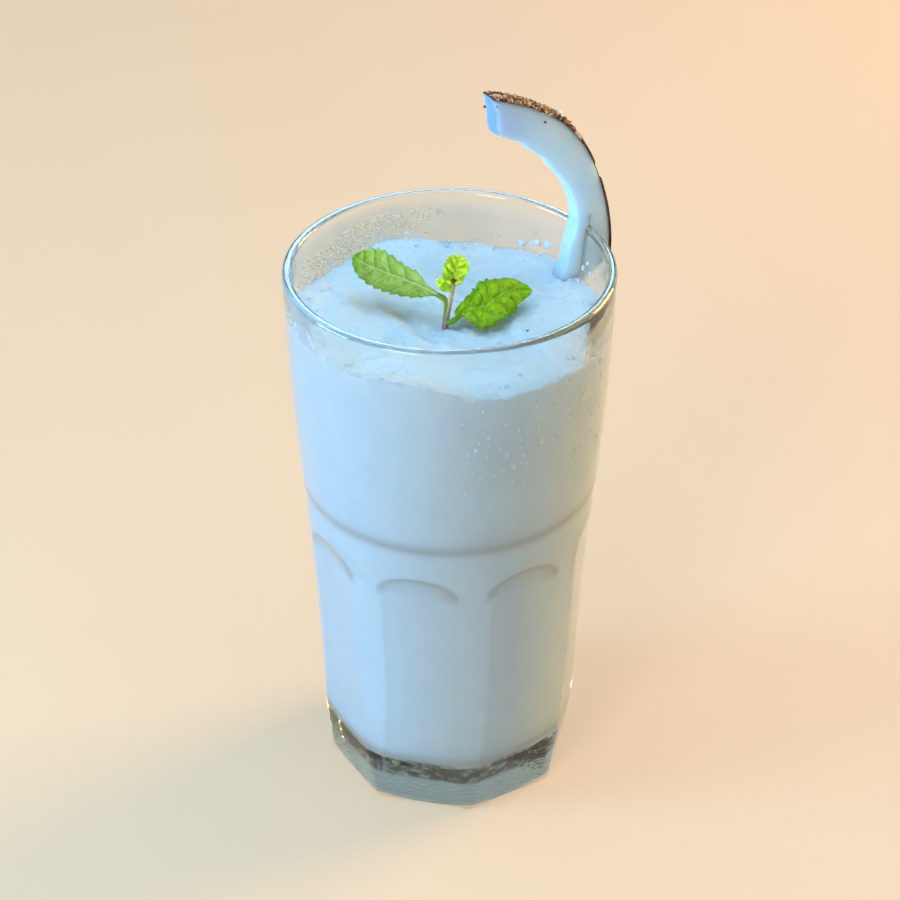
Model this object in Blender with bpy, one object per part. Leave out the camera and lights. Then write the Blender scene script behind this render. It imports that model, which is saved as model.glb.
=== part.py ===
"""Coconut shake in a glass with eight flat panels.

The glass is a pressed tumbler: a round mouth that flares above a ridge, and below the ridge
eight flat panels with arched tops that run down to a thick foot.  A white shake fills it to
a finger's breadth under the rim.  A crescent of coconut is hooked on the rim by a slot in
its lower end, and a sprig of mint stands in the drink.

Metres, +Z up.  The origin is the centre of the underside of the glass.  The front is -Y, and
an azimuth is an angle about Z, measured from the front towards +X.
"""
import math
import random

import bmesh
import bpy
from mathutils import Vector
from mathutils.geometry import tessellate_polygon

GAP = 0.0003                # clearance kept between touching pieces

# Glass
GLASS_HEIGHT = 0.155
RIM_RADIUS = 0.043
LIP_THICKNESS = 0.0026      # wall at the rounded lip
FLARE = 0.0031              # how much the mouth widens from the ridge to the rim
FLARE_POWER = 1.35
RIDGE_HEIGHT = 0.0933       # crease where the flaring mouth meets the shoulder
SHOULDER_HEIGHT = 0.0895
SHOULDER_RADIUS = 0.0391
PANELS = 8
PANEL_HALF_ANGLE = math.pi / PANELS
FRONT_EDGE = math.radians(9.3)      # azimuth of the upright edge nearest the front
CUSP_HEIGHT = 0.0768        # where neighbouring arches meet
ARCH_HEIGHT = 0.083         # crown of each arch
SCOOP_POWER = 1.7           # how the top of a panel curves out to its arch
ARCH_FOOT = 0.070           # from here down the panels are flat
FOOT_HEIGHT = 0.016         # the panels lean in over the foot
FOOT_LEAN = 0.0014
FOOT_EDGE = 0.0006          # rounding of the bottom edge
COLUMNS_PER_PANEL = 8

# Distance of the upright edges from the axis, and radius of the bore, each given at three
# heights and read from a smooth curve through them: (height, radius).
EDGE_STATIONS = ((0.000, 0.0350), (0.045, 0.0367), (0.077, 0.0389))
BORE_STATIONS = ((0.017, 0.0294), (0.076, 0.0332), (0.1537, 0.0404))
FLOOR_HEIGHT = 0.0115       # thickness of the solid base
BORE_CORNER = 0.0075        # radius between the floor and the wall

# Drink
DRINK_LEVEL = 0.1413
# Height at which the froth meets the wall, all the way round: (azimuth in degrees, height)
BRIM_STATIONS = ((-180, 0.1404), (-157, 0.1425), (-140, 0.1410), (-120, 0.1404), (-98, 0.1434),
                 (-65, 0.1437), (-40, 0.1430), (-18, 0.1437), (-5, 0.1430), (10, 0.1394),
                 (45, 0.1397), (70, 0.1394), (98, 0.1424), (118, 0.1403), (138, 0.1416),
                 (155, 0.1402), (180, 0.1404))
BRIM_POWER = 3.0            # how soon the froth levels out away from the wall
MOUND_COUNT = 46            # soft lumps of froth
MOUND_SEED = 12
MOUND_RISE = 0.0012
MOUND_SPREAD = (0.0035, 0.0085)
DRINK_RINGS = 12

# Coconut slice, drawn in an upright plane through the axis.  Its skin and its hollow side are
# given by their distance from SLICE_CENTRE at angles up from level: (degrees, distance).  The
# last angle of each is where the slice was snapped off.
SLICE_AZIMUTH = math.radians(122.0)
SLICE_THICKNESS = 0.0050
SLICE_CENTRE = (0.0006, 0.1530)             # distance from the axis, height
SKIN_STATIONS = ((-14, 0.0497), (1, 0.0482), (16, 0.0473), (27, 0.0474), (37, 0.0479),
                 (46, 0.0486), (56, 0.0483), (68, 0.0482), (77, 0.0484))
FLESH_STATIONS = ((-30, 0.0347), (-9, 0.0351), (3, 0.0368), (13, 0.0381), (36, 0.0369),
                  (58, 0.0373), (71.5, 0.0382))
SLICE_OUTER_FOOT = 0.1405                   # how far it hangs down outside the glass
SLICE_INNER_FOOT = 0.1350                   # how far it reaches down into the drink
SLOT_CLEARANCE = 0.0004
SLOT_PEAK = 0.0022                          # the slot ends in a point above the rim
SKIN_STEPS = 26
FLESH_STEPS = 20
CRAG_HEIGHT = 0.00035

# Mint sprig
STEM_RADIUS = 0.0007
STEM_SIDES = 8
STEM_POINTS = (
    (-0.0013, -0.0080, 0.1345),
    (-0.0011, -0.0079, 0.1425),
    (0.0000, -0.0072, 0.1478),
    (0.0008, -0.0064, 0.1525),
    (0.0012, -0.0060, 0.1545),
)
LEAF_THICKNESS = 0.0005
LEAF_STEPS = 14
LEAF_HALF_STEPS = 4


def polar(azimuth, radius, height):
    """Point at an azimuth from the front, a distance from the axis and a height."""
    return Vector((radius * math.sin(azimuth), -radius * math.cos(azimuth), height))


def through(stations, height):
    """Radius at a height on the smooth curve through three stations."""
    total = 0.0
    for i, (h_i, r_i) in enumerate(stations):
        weight = 1.0
        for j, (h_j, _) in enumerate(stations):
            if j != i:
                weight *= (height - h_j) / (h_i - h_j)
        total += weight * r_i
    return total


def smooth(stations, place):
    """Value at a place on the smooth curve that passes through any number of stations."""
    if place <= stations[0][0]:
        return stations[0][1]
    for k in range(len(stations) - 1):
        (x0, y0), (x1, y1) = stations[k], stations[k + 1]
        if place <= x1:
            xa, ya = stations[max(k - 1, 0)]
            xb, yb = stations[min(k + 2, len(stations) - 1)]
            start = (y1 - ya) / (x1 - xa) * (x1 - x0)
            end = (yb - y0) / (xb - x0) * (x1 - x0)
            t = (place - x0) / (x1 - x0)
            return (y0 * (1.0 - 3.0 * t * t + 2.0 * t ** 3) + start * (t - 2.0 * t * t + t ** 3)
                    + y1 * (3.0 * t * t - 2.0 * t ** 3) + end * (t ** 3 - t * t))
    return stations[-1][1]


def make_material(name, color, roughness, metallic=0.0, transmission=0.0):
    material = bpy.data.materials.new(name)
    material.use_nodes = True
    shader = material.node_tree.nodes["Principled BSDF"]
    shader.inputs["Base Color"].default_value = (*color, 1.0)
    shader.inputs["Roughness"].default_value = roughness
    shader.inputs["Metallic"].default_value = metallic
    shader.inputs["Transmission Weight"].default_value = transmission
    material.diffuse_color = (*color, 1.0)
    return material


def add_object(name, bm, material=None, sharp_angle=None):
    bmesh.ops.recalc_face_normals(bm, faces=bm.faces)
    mesh = bpy.data.meshes.new(name)
    bm.to_mesh(mesh)
    bm.free()
    if material:
        mesh.materials.append(material)
    if sharp_angle is not None:
        mesh.shade_smooth()
        mesh.set_sharp_from_angle(angle=sharp_angle)
    obj = bpy.data.objects.new(name, mesh)
    bpy.context.scene.collection.objects.link(obj)
    return obj


def cut_away(obj, cutter):
    """Cut another object's shape out of this one, and remove that object.

    The exact solver loses this froth, with its many nearly level faces, so the cut uses the
    manifold one.
    """
    modifier = obj.modifiers.new("Cut", "BOOLEAN")
    modifier.operation = "DIFFERENCE"
    modifier.solver = "MANIFOLD"
    modifier.object = cutter
    graph = bpy.context.evaluated_depsgraph_get()
    mesh = bpy.data.meshes.new_from_object(obj.evaluated_get(graph))
    obj.modifiers.remove(modifier)
    obj.data = mesh
    bpy.data.objects.remove(cutter)


def stack_rows(bm, rows):
    """Join rows of vertices, each a closed loop of the same length, into a skin."""
    for lower, upper in zip(rows, rows[1:]):
        count = len(lower)
        for k in range(count):
            n = (k + 1) % count
            bm.faces.new((lower[k], lower[n], upper[n], upper[k]))


def close_with_fan(bm, row, centre):
    """Close the end of a skin with triangles to one centre vertex."""
    hub = bm.verts.new(centre)
    for k, vert in enumerate(row):
        bm.faces.new((vert, row[(k + 1) % len(row)], hub))


# The glass

def edge_radius(height):
    """Distance from the axis to the upright edges between panels."""
    lean = FOOT_LEAN * max(0.0, 1.0 - height / FOOT_HEIGHT)
    return through(EDGE_STATIONS, height) - lean


def turned_radius(height):
    """Radius of the round blank from which the panels are pressed back."""
    if height >= RIDGE_HEIGHT:
        drop = (GLASS_HEIGHT - height) / (GLASS_HEIGHT - RIDGE_HEIGHT)
        return RIM_RADIUS - FLARE * drop ** FLARE_POWER
    if height >= SHOULDER_HEIGHT:
        t = (height - SHOULDER_HEIGHT) / (RIDGE_HEIGHT - SHOULDER_HEIGHT)
        return SHOULDER_RADIUS + (RIM_RADIUS - FLARE - SHOULDER_RADIUS) * t
    if height >= CUSP_HEIGHT:
        t = (height - CUSP_HEIGHT) / (SHOULDER_HEIGHT - CUSP_HEIGHT)
        return edge_radius(CUSP_HEIGHT) * (1.0 - t) + SHOULDER_RADIUS * t
    return edge_radius(height)


def panel_distance(height):
    """Distance from the axis to the middle of a panel, with the scoop at its top."""
    flat = edge_radius(min(height, CUSP_HEIGHT)) * math.cos(PANEL_HALF_ANGLE)
    if height <= CUSP_HEIGHT:
        return flat
    rise = (height - CUSP_HEIGHT) / (ARCH_HEIGHT - CUSP_HEIGHT)
    return flat + (turned_radius(ARCH_HEIGHT) - flat) * rise ** SCOOP_POWER


def outer_radius(from_middle, height):
    """Outside of the glass at an angle from the middle of the nearest panel."""
    if height >= ARCH_HEIGHT:
        return turned_radius(height)
    return min(turned_radius(height), panel_distance(height) / math.cos(from_middle))


def arch_height(from_middle):
    """Height at which a panel runs out, found by halving the span from cusp to crown."""
    low, high = CUSP_HEIGHT, ARCH_HEIGHT
    for _ in range(30):
        middle = 0.5 * (low + high)
        if panel_distance(middle) / math.cos(from_middle) < turned_radius(middle):
            low = middle
        else:
            high = middle
    return 0.5 * (low + high)


def bore_rows():
    """Radius and height down the inside, from the lip to the floor."""
    rows = []
    top = GLASS_HEIGHT - 0.5 * LIP_THICKNESS
    bend = FLOOR_HEIGHT + BORE_CORNER
    for k in range(1, 9):
        height = top + (bend - top) * k / 8
        rows.append((through(BORE_STATIONS, height), height))
    hub = through(BORE_STATIONS, bend) - BORE_CORNER
    for k in range(1, 5):
        angle = 0.5 * math.pi * k / 4
        rows.append((hub + BORE_CORNER * math.cos(angle), bend - BORE_CORNER * math.sin(angle)))
    return rows


def build_glass(material):
    bm = bmesh.new()
    columns = PANELS * COLUMNS_PER_PANEL
    step = 2.0 * math.pi / columns
    azimuths = [FRONT_EDGE + step * k for k in range(columns)]
    offsets = [(k % COLUMNS_PER_PANEL) * step - PANEL_HALF_ANGLE for k in range(columns)]
    crowns = [arch_height(offset) for offset in offsets]
    rows = []

    def outer_row(heights, inset=0.0):
        row = []
        for azimuth, offset, height in zip(azimuths, offsets, heights):
            radius = outer_radius(offset, height) - inset
            row.append(bm.verts.new(polar(azimuth, radius, height)))
        rows.append(row)

    outer_row([0.0] * columns, FOOT_EDGE)
    for height in (FOOT_EDGE, 0.5 * FOOT_HEIGHT, FOOT_HEIGHT, 0.034, 0.052, ARCH_FOOT):
        outer_row([height] * columns)
    for t in (0.45, 0.7, 0.88, 1.0):
        outer_row([ARCH_FOOT + (crown - ARCH_FOOT) * t for crown in crowns])
    outer_row([crown + (SHOULDER_HEIGHT - crown) * 0.5 for crown in crowns])
    for height in (SHOULDER_HEIGHT, RIDGE_HEIGHT, 0.108, 0.123, 0.138):
        outer_row([height] * columns)
    lip = 0.5 * LIP_THICKNESS
    for k in range(7):
        angle = math.pi * k / 6
        radius = RIM_RADIUS - lip + lip * math.cos(angle)
        height = GLASS_HEIGHT - lip + lip * math.sin(angle)
        rows.append([bm.verts.new(polar(azimuth, radius, height)) for azimuth in azimuths])
    for radius, height in bore_rows():
        rows.append([bm.verts.new(polar(azimuth, radius, height)) for azimuth in azimuths])
    stack_rows(bm, rows)
    close_with_fan(bm, rows[0], (0.0, 0.0, 0.0))
    close_with_fan(bm, rows[-1], (0.0, 0.0, FLOOR_HEIGHT))
    return add_object("glass_tumbler", bm, material, math.radians(14.0))


# The drink

def make_mounds():
    """Soft lumps of froth: place, rise and spread of each."""
    rng = random.Random(MOUND_SEED)
    mounds = []
    for k in range(MOUND_COUNT):
        azimuth = k * 2.39996
        radius = 0.040 * math.sqrt((k + 0.5) / MOUND_COUNT)
        centre = polar(azimuth, radius, 0.0)
        rise = MOUND_RISE * rng.uniform(-0.6, 1.0)
        mounds.append((centre.x, centre.y, rise, rng.uniform(*MOUND_SPREAD)))
    # froth heaped against the coconut, and drawn down where the stem goes in
    heap = polar(SLICE_AZIMUTH, 0.0365, 0.0)
    mounds.append((heap.x, heap.y, 0.0012, 0.006))
    mounds.append((STEM_POINTS[1][0], STEM_POINTS[1][1], -0.0006, 0.004))
    return mounds


def froth_height(x, y, mounds):
    """Top of the froth: mounds in the middle that die out where it climbs the wall."""
    near_wall = min(1.0, math.hypot(x, y) / (through(BORE_STATIONS, DRINK_LEVEL) - GAP))
    brim = smooth(BRIM_STATIONS, math.degrees(math.atan2(x, -y)))
    rise = 0.0
    for mx, my, mound, spread in mounds:
        rise += mound * math.exp(-((x - mx) ** 2 + (y - my) ** 2) / spread ** 2)
    return (DRINK_LEVEL + (brim - DRINK_LEVEL) * near_wall ** BRIM_POWER
            + rise * (1.0 - near_wall ** 6))


def build_drink(material):
    bm = bmesh.new()
    columns = PANELS * COLUMNS_PER_PANEL
    azimuths = [FRONT_EDGE + 2.0 * math.pi * k / columns for k in range(columns)]
    mounds = make_mounds()
    profile = [(radius - GAP, height + GAP) for radius, height in bore_rows()
               if height < DRINK_LEVEL - 0.004]
    profile.reverse()
    rows = [[bm.verts.new(polar(a, radius, height)) for a in azimuths]
            for radius, height in profile]
    brim = through(BORE_STATIONS, DRINK_LEVEL) - GAP
    for ring in range(DRINK_RINGS):
        radius = brim * (1.0 - ring / DRINK_RINGS)
        row = []
        for azimuth in azimuths:
            point = polar(azimuth, radius, 0.0)
            point.z = froth_height(point.x, point.y, mounds)
            row.append(bm.verts.new(point))
        rows.append(row)
    stack_rows(bm, rows)
    close_with_fan(bm, rows[0], (0.0, 0.0, FLOOR_HEIGHT + GAP))
    close_with_fan(bm, rows[-1], (0.0, 0.0, froth_height(0.0, 0.0, mounds)))
    return add_object("coconut_shake", bm, material, math.radians(40.0))


# The coconut slice

def curve_points(stations, foot, steps, grow):
    """Points from a foot of the slice up one of its two curves to the broken end."""
    start = math.degrees(math.asin((foot - SLICE_CENTRE[1]) / (stations[0][1] + grow)))
    points = []
    for k in range(steps + 1):
        degrees = start + (stations[-1][0] - start) * k / steps
        distance = smooth(stations, degrees) + grow
        points.append((SLICE_CENTRE[0] + distance * math.cos(math.radians(degrees)),
                       SLICE_CENTRE[1] + distance * math.sin(math.radians(degrees))))
    return points


def slice_outline(grow=0.0):
    """Outline of the slice in its plane, counter-clockwise seen from the front.

    grow widens it on every side, for the pocket that it makes in the drink.
    """
    outer_foot = SLICE_OUTER_FOOT - grow
    inner_foot = SLICE_INNER_FOOT - grow
    skin = curve_points(SKIN_STATIONS, outer_foot, SKIN_STEPS, grow)
    flesh = curve_points(FLESH_STATIONS, inner_foot, FLESH_STEPS, -grow)
    flesh.reverse()
    # broken end between the two curves, stepped like snapped flesh
    end_out, end_in = skin[-1], flesh[0]
    broken = []
    for t, nick in ((0.2, 0.0006), (0.45, -0.0003), (0.7, 0.0005), (0.9, -0.0004)):
        broken.append((end_out[0] + (end_in[0] - end_out[0]) * t + nick,
                       end_out[1] + (end_in[1] - end_out[1]) * t))
    # slot that takes the wall of the glass, from the inner foot up, over and down
    room = SLOT_CLEARANCE - grow
    top = GLASS_HEIGHT + room
    lip_middle = RIM_RADIUS - 0.5 * LIP_THICKNESS
    slot = []
    for height in (inner_foot, 0.5 * (inner_foot + top), top - 0.0015):
        slot.append((through(BORE_STATIONS, height) - room, height))
    slot.append((RIM_RADIUS - LIP_THICKNESS - room, top - 0.0005))
    slot.append((lip_middle, top + SLOT_PEAK))
    slot.append((RIM_RADIUS + room, top - 0.0005))
    slot.append((turned_radius(outer_foot) + room + 0.0003, outer_foot))
    return skin + broken + flesh + slot


def slice_point(distance, height, across):
    """Point of the slice: distance from the axis, height, and place across its thickness."""
    along = polar(SLICE_AZIMUTH, distance, height)
    sideways = Vector((-math.cos(SLICE_AZIMUTH), -math.sin(SLICE_AZIMUTH), 0.0))
    return along + sideways * across


def build_slice(name, material=None, grow=0.0):
    bm = bmesh.new()
    outline = slice_outline(grow)
    half = 0.5 * SLICE_THICKNESS + grow
    rng = random.Random(5)
    layers = 4
    rows = []
    for layer in range(layers + 1):
        across = half * (2.0 * layer / layers - 1.0)
        row = []
        for index, (distance, height) in enumerate(outline):
            crag = 0.0
            if grow == 0.0 and 0 < index < SKIN_STEPS:
                crag = CRAG_HEIGHT * rng.uniform(-1.0, 1.0)
            angle = math.atan2(height - SLICE_CENTRE[1], distance - SLICE_CENTRE[0])
            row.append(bm.verts.new(slice_point(distance + crag * math.cos(angle),
                                                height + crag * math.sin(angle), across)))
        rows.append(row)
    stack_rows(bm, rows)
    flat_outline = [Vector((distance, height, 0.0)) for distance, height in outline]
    for triangle in tessellate_polygon([flat_outline]):
        for row in (rows[0], rows[-1]):
            bm.faces.new([row[k] for k in triangle])
    return add_object(name, bm, material, math.radians(35.0))


# The mint sprig

def build_tube(name, points, radius, sides, end_radius=None):
    """Closed tube along a smooth curve through the given points."""
    if end_radius is None:
        end_radius = radius
    knots = [Vector(p) for p in points]
    path = []
    for k in range(len(knots) - 1):
        before = knots[max(k - 1, 0)]
        after = knots[min(k + 2, len(knots) - 1)]
        for t in (0.0, 0.5):
            a, b = knots[k], knots[k + 1]
            path.append(0.5 * (2.0 * a + (b - before) * t
                               + (2.0 * before - 5.0 * a + 4.0 * b - after) * t * t
                               + (3.0 * a - before - 3.0 * b + after) * t ** 3))
    path.append(knots[-1])
    bm = bmesh.new()
    rows = []
    for k, centre in enumerate(path):
        forward = (path[min(k + 1, len(path) - 1)] - path[max(k - 1, 0)]).normalized()
        side = forward.cross(Vector((0.0, 1.0, 0.0))).normalized()
        other = side.cross(forward)
        here = radius + (end_radius - radius) * k / (len(path) - 1)
        row = []
        for s in range(sides):
            angle = 2.0 * math.pi * s / sides
            outward = side * math.cos(angle) + other * math.sin(angle)
            row.append(bm.verts.new(centre + outward * here))
        rows.append(row)
    stack_rows(bm, rows)
    bm.faces.new(rows[0])
    bm.faces.new(rows[-1])
    return add_object(name, bm)


def leaf_half_width(t, width, belly, slimness):
    """Half width of a mint leaf at a fraction of its length.

    belly is the fraction of the length at which it is widest, and slimness narrows both ends.
    """
    rise, fall = slimness * belly, slimness * (1.0 - belly)
    shape = (t / belly) ** rise * ((1.0 - t) / (1.0 - belly)) ** fall
    return 0.0004 + (0.5 * width - 0.0004) * shape


def build_leaf(name, base, tip, side, outline, crown, cup, ruffle, phase):
    """Thin wavy leaf: crown lifts the midrib, cup raises the margins, ruffle waves them.

    outline is its width, belly and slimness.
    """
    width = outline[0]
    base, tip = Vector(base), Vector(tip)
    axis = tip - base
    side = Vector(side)
    side = (side - axis * (side.dot(axis) / axis.length_squared)).normalized()
    normal = side.cross(axis).normalized()
    if normal.z < 0.0:
        normal = -normal
    bm = bmesh.new()
    sheets = []
    for face_side in (0.5, -0.5):
        sheet = []
        for i in range(LEAF_STEPS + 1):
            t = i / LEAF_STEPS
            middle = base + axis * t + normal * (crown * math.sin(math.pi * t))
            half = leaf_half_width(t, *outline)
            row = []
            for j in range(-LEAF_HALF_STEPS, LEAF_HALF_STEPS + 1):
                s = j / LEAF_HALF_STEPS
                wave = ruffle * s * s * math.sin(2.0 * math.pi * 2.5 * t + phase + 1.3 * s)
                height = cup * s * s * half / (0.5 * width) + wave * math.sin(math.pi * t)
                point = middle + side * (s * half)
                point += normal * (height + face_side * LEAF_THICKNESS)
                row.append(bm.verts.new(point))
            sheet.append(row)
        sheets.append(sheet)
    for sheet in sheets:
        for lower, upper in zip(sheet, sheet[1:]):
            for j in range(2 * LEAF_HALF_STEPS):
                bm.faces.new((lower[j], lower[j + 1], upper[j + 1]))
                bm.faces.new((lower[j], upper[j + 1], upper[j]))
    rims = []
    for sheet in sheets:
        rim = list(sheet[0])
        rim += [row[-1] for row in sheet[1:]]
        rim += list(reversed(sheet[-1][:-1]))
        rim += [row[0] for row in reversed(sheet[1:-1])]
        rims.append(rim)
    stack_rows(bm, rims)
    return add_object(name, bm)


def build_mint(material):
    pieces = [
        build_tube("stem", STEM_POINTS, 1.15 * STEM_RADIUS, STEM_SIDES, 0.9 * STEM_RADIUS),
        build_tube("left_stalk", ((-0.0012, -0.0079, 0.1435), (-0.0011, -0.0078, 0.1460),
                                  (-0.0010, -0.0068, 0.1484), (-0.0032, -0.0055, 0.1496)),
                   STEM_RADIUS, 6),
        build_tube("right_stalk", ((-0.0010, -0.0079, 0.1428), (0.0008, -0.0088, 0.1436),
                                   (0.0036, -0.0080, 0.1444)), STEM_RADIUS, 6),
        build_leaf("left_leaf", (-0.0012, -0.0066, 0.1490), (-0.0252, 0.0060, 0.1542),
                   (0.0, 0.72, 0.69), (0.0100, 0.60, 2.7), -0.0008, 0.0010, 0.0007, 0.4),
        build_leaf("right_leaf", (0.0016, -0.0086, 0.1440), (0.0216, 0.0034, 0.1462),
                   (-0.15, 0.85, 0.52), (0.0137, 0.45, 1.8), 0.0027, -0.0012, 0.0008, 1.9),
        build_leaf("top_leaf", (0.0006, -0.0063, 0.1524), (0.0030, -0.0044, 0.1605),
                   (1.0, 0.1, 0.0), (0.0066, 0.58, 1.3), 0.0008, 0.0014, 0.0006, 0.0),
        build_leaf("curled_leaf", (0.0012, -0.0064, 0.1518), (-0.0034, -0.0060, 0.1540),
                   (0.1, 0.6, 0.8), (0.0042, 0.55, 1.3), 0.0008, 0.0010, 0.0004, 2.6),
    ]
    holder = bpy.data.collections.new("sprig_pieces")
    bpy.context.scene.collection.children.link(holder)
    for piece in pieces[1:]:
        bpy.context.scene.collection.objects.unlink(piece)
        holder.objects.link(piece)
    sprig = pieces[0]
    sprig.name = "mint_sprig"
    modifier = sprig.modifiers.new("Join", "BOOLEAN")
    modifier.operation = "UNION"
    modifier.solver = "EXACT"
    modifier.operand_type = "COLLECTION"
    modifier.collection = holder
    graph = bpy.context.evaluated_depsgraph_get()
    mesh = bpy.data.meshes.new_from_object(sprig.evaluated_get(graph))
    sprig.modifiers.remove(modifier)
    sprig.data = mesh
    for piece in pieces[1:]:
        bpy.data.objects.remove(piece)
    bpy.data.collections.remove(holder)
    mesh.materials.clear()
    mesh.materials.append(material)
    mesh.shade_smooth()
    return sprig


def main():
    for obj in list(bpy.data.objects):
        bpy.data.objects.remove(obj)

    clear_glass = make_material("clear_glass", (0.93, 0.97, 0.96), 0.03, transmission=1.0)
    white_shake = make_material("white_shake", (0.88, 0.91, 0.93), 0.45)
    coconut = make_material("coconut_flesh", (0.86, 0.87, 0.88), 0.55)
    mint_green = make_material("mint_green", (0.13, 0.30, 0.04), 0.50)

    build_glass(clear_glass)
    drink = build_drink(white_shake)
    build_slice("coconut_slice", coconut)
    cut_away(drink, build_slice("pocket", grow=GAP + 0.00005))
    stem_sleeve = build_tube("sleeve", STEM_POINTS, 1.15 * STEM_RADIUS + GAP + 0.0001,
                             STEM_SIDES, 0.9 * STEM_RADIUS + GAP + 0.0001)
    cut_away(drink, stem_sleeve)
    build_mint(mint_green)


main()
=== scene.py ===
"""Looks of the coconut shake: a faceted glass of white shake with coconut and mint."""
import math
import random

import bmesh
import bpy
import numpy as np
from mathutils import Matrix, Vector, noise


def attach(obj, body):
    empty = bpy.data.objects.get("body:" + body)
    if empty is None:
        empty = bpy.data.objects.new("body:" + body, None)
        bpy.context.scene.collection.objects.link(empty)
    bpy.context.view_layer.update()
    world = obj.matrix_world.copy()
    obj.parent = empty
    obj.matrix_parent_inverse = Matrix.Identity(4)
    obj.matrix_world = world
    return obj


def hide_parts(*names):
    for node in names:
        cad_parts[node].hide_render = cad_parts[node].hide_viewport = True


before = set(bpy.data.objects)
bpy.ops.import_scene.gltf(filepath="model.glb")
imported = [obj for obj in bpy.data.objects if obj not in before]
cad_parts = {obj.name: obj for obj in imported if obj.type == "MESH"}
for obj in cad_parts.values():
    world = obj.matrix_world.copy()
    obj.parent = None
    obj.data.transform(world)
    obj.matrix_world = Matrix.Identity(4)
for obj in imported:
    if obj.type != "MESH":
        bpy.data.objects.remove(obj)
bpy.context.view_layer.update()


# The tumbler is pressed soda-lime glass: a round flared mouth above a ridge, and below it eight
# flat panels with arched tops that run down to a thick clear foot.  The round blank is turned
# here, and a node tree presses the panels into it, as the mould does.

GLASS_HEIGHT = 0.155
RIM_RADIUS = 0.043
BODY_RADIUS = 0.0388        # of the round blank, up to the shoulder
MOUTH_FLARE = 0.0031        # how much wider the rim is than the foot of the mouth
LIP = 0.0026                # thickness of the rounded lip
RIDGE = 0.0933              # crease where the flaring mouth meets the shoulder
SHOULDER = 0.0908           # foot of the step below that crease
CUSP = 0.0768               # where neighbouring arches meet
FOOT_EDGE = 0.0007          # rounding of the bottom edge
FOOT_RING = 0.0286          # radius where the hollow under the foot begins
PUNT = 0.0022               # depth of that hollow
PANELS = 8
PANEL_COLUMNS = 28
FRONT_EDGE = math.radians(9.3)
FLOOR = 0.0115              # thickness of the solid foot
CORNER = 0.0075             # radius between the floor and the bore


def polar(azimuth, radius, height):
    """Point at an azimuth from the front towards +X, a distance from the axis and a height."""
    return (radius * math.sin(azimuth), -radius * math.cos(azimuth), height)


def blank_radius(height):
    """Round outside of the tumbler before its panels are pressed."""
    if height >= RIDGE:
        drop = (GLASS_HEIGHT - min(height, GLASS_HEIGHT)) / (GLASS_HEIGHT - RIDGE)
        return RIM_RADIUS - MOUTH_FLARE * drop ** 1.35
    if height >= SHOULDER:
        t = (height - SHOULDER) / (RIDGE - SHOULDER)
        return BODY_RADIUS + 0.0011 * t * t * (3.0 - 2.0 * t)
    return BODY_RADIUS


def bore_radius(height):
    """Round inside of the tumbler above the corner of its floor."""
    return 0.0294 + 0.06441 * (height - 0.017) + 0.2067 * (height - 0.017) * (height - 0.076)


def clamp(value):
    """Value held between 0 and 1."""
    return min(1.0, max(0.0, value))


def bell(away):
    """1 at no distance, falling off smoothly on both sides."""
    return math.exp(-away ** 2)


def put(name, data):
    """Put a mesh, a lamp or a camera into the scene."""
    made = bpy.data.objects.new(name, data)
    bpy.context.scene.collection.objects.link(made)
    return made


def put_shape(name, shape):
    """Put a shape that was made by hand into the scene."""
    mesh = bpy.data.meshes.new(name)
    shape.to_mesh(mesh)
    shape.free()
    return put(name, mesh)


def closed_piece(name, points, faces):
    """Smooth piece from these points and faces, with every face looking out."""
    mesh = bpy.data.meshes.new(name)
    mesh.from_pydata(points, [], faces)
    shape = bmesh.new()
    shape.from_mesh(mesh)
    bmesh.ops.recalc_face_normals(shape, faces=shape.faces)
    shape.to_mesh(mesh)
    shape.free()
    mesh.shade_smooth()
    return put(name, mesh)


def ring_skin(name, rings, start, end):
    """Closed piece from rings of points, all of one length, drawn to a point at each end."""
    points = np.vstack([np.asarray(rings, float).reshape(-1, 3), [start], [end]])
    count, sides = len(rings), len(rings[0])
    index = np.arange(count * sides).reshape(count, sides)
    turned = np.roll(index, -1, axis=1)
    quads = np.stack([index[:-1], turned[:-1], turned[1:], index[1:]], axis=-1)
    faces = quads.reshape(-1, 4).tolist()
    for row, hub in ((0, count * sides), (count - 1, count * sides + 1)):
        faces += [[int(index[row, k]), int(turned[row, k]), hub] for k in range(sides)]
    return closed_piece(name, points.tolist(), faces)


def grid_faces(rows, columns):
    """Faces between the points of a grid: so many rows of faces, so many points in each row."""
    corners = [i * columns + j for i in range(rows) for j in range(columns - 1)]
    return [(a, a + 1, a + columns + 1, a + columns) for a in corners]


def mark(piece, name, values):
    """Store one number for each point of a piece, for its material and its node trees."""
    piece.data.attributes.new(name, "FLOAT", "POINT").data.foreach_set("value", values)


def feed(node, feeds):
    """Give a node's inputs plain values, rules, sockets or the first outputs of other nodes."""
    for socket, value in feeds.items():
        if isinstance(value, bpy.types.Node):
            value = value.outputs[0]
        elif isinstance(value, Rule):
            value = value.socket
        if isinstance(value, bpy.types.NodeSocket):
            node.id_data.links.new(value, node.inputs[socket])
        else:
            node.inputs[socket].default_value = value


def add_node(tree, kind, feeds=None, **settings):
    """Add a node with these properties and feeds."""
    made = tree.nodes.new(kind)
    for key, value in settings.items():
        setattr(made, key, value)
    feed(made, feeds or {})
    return made


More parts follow.
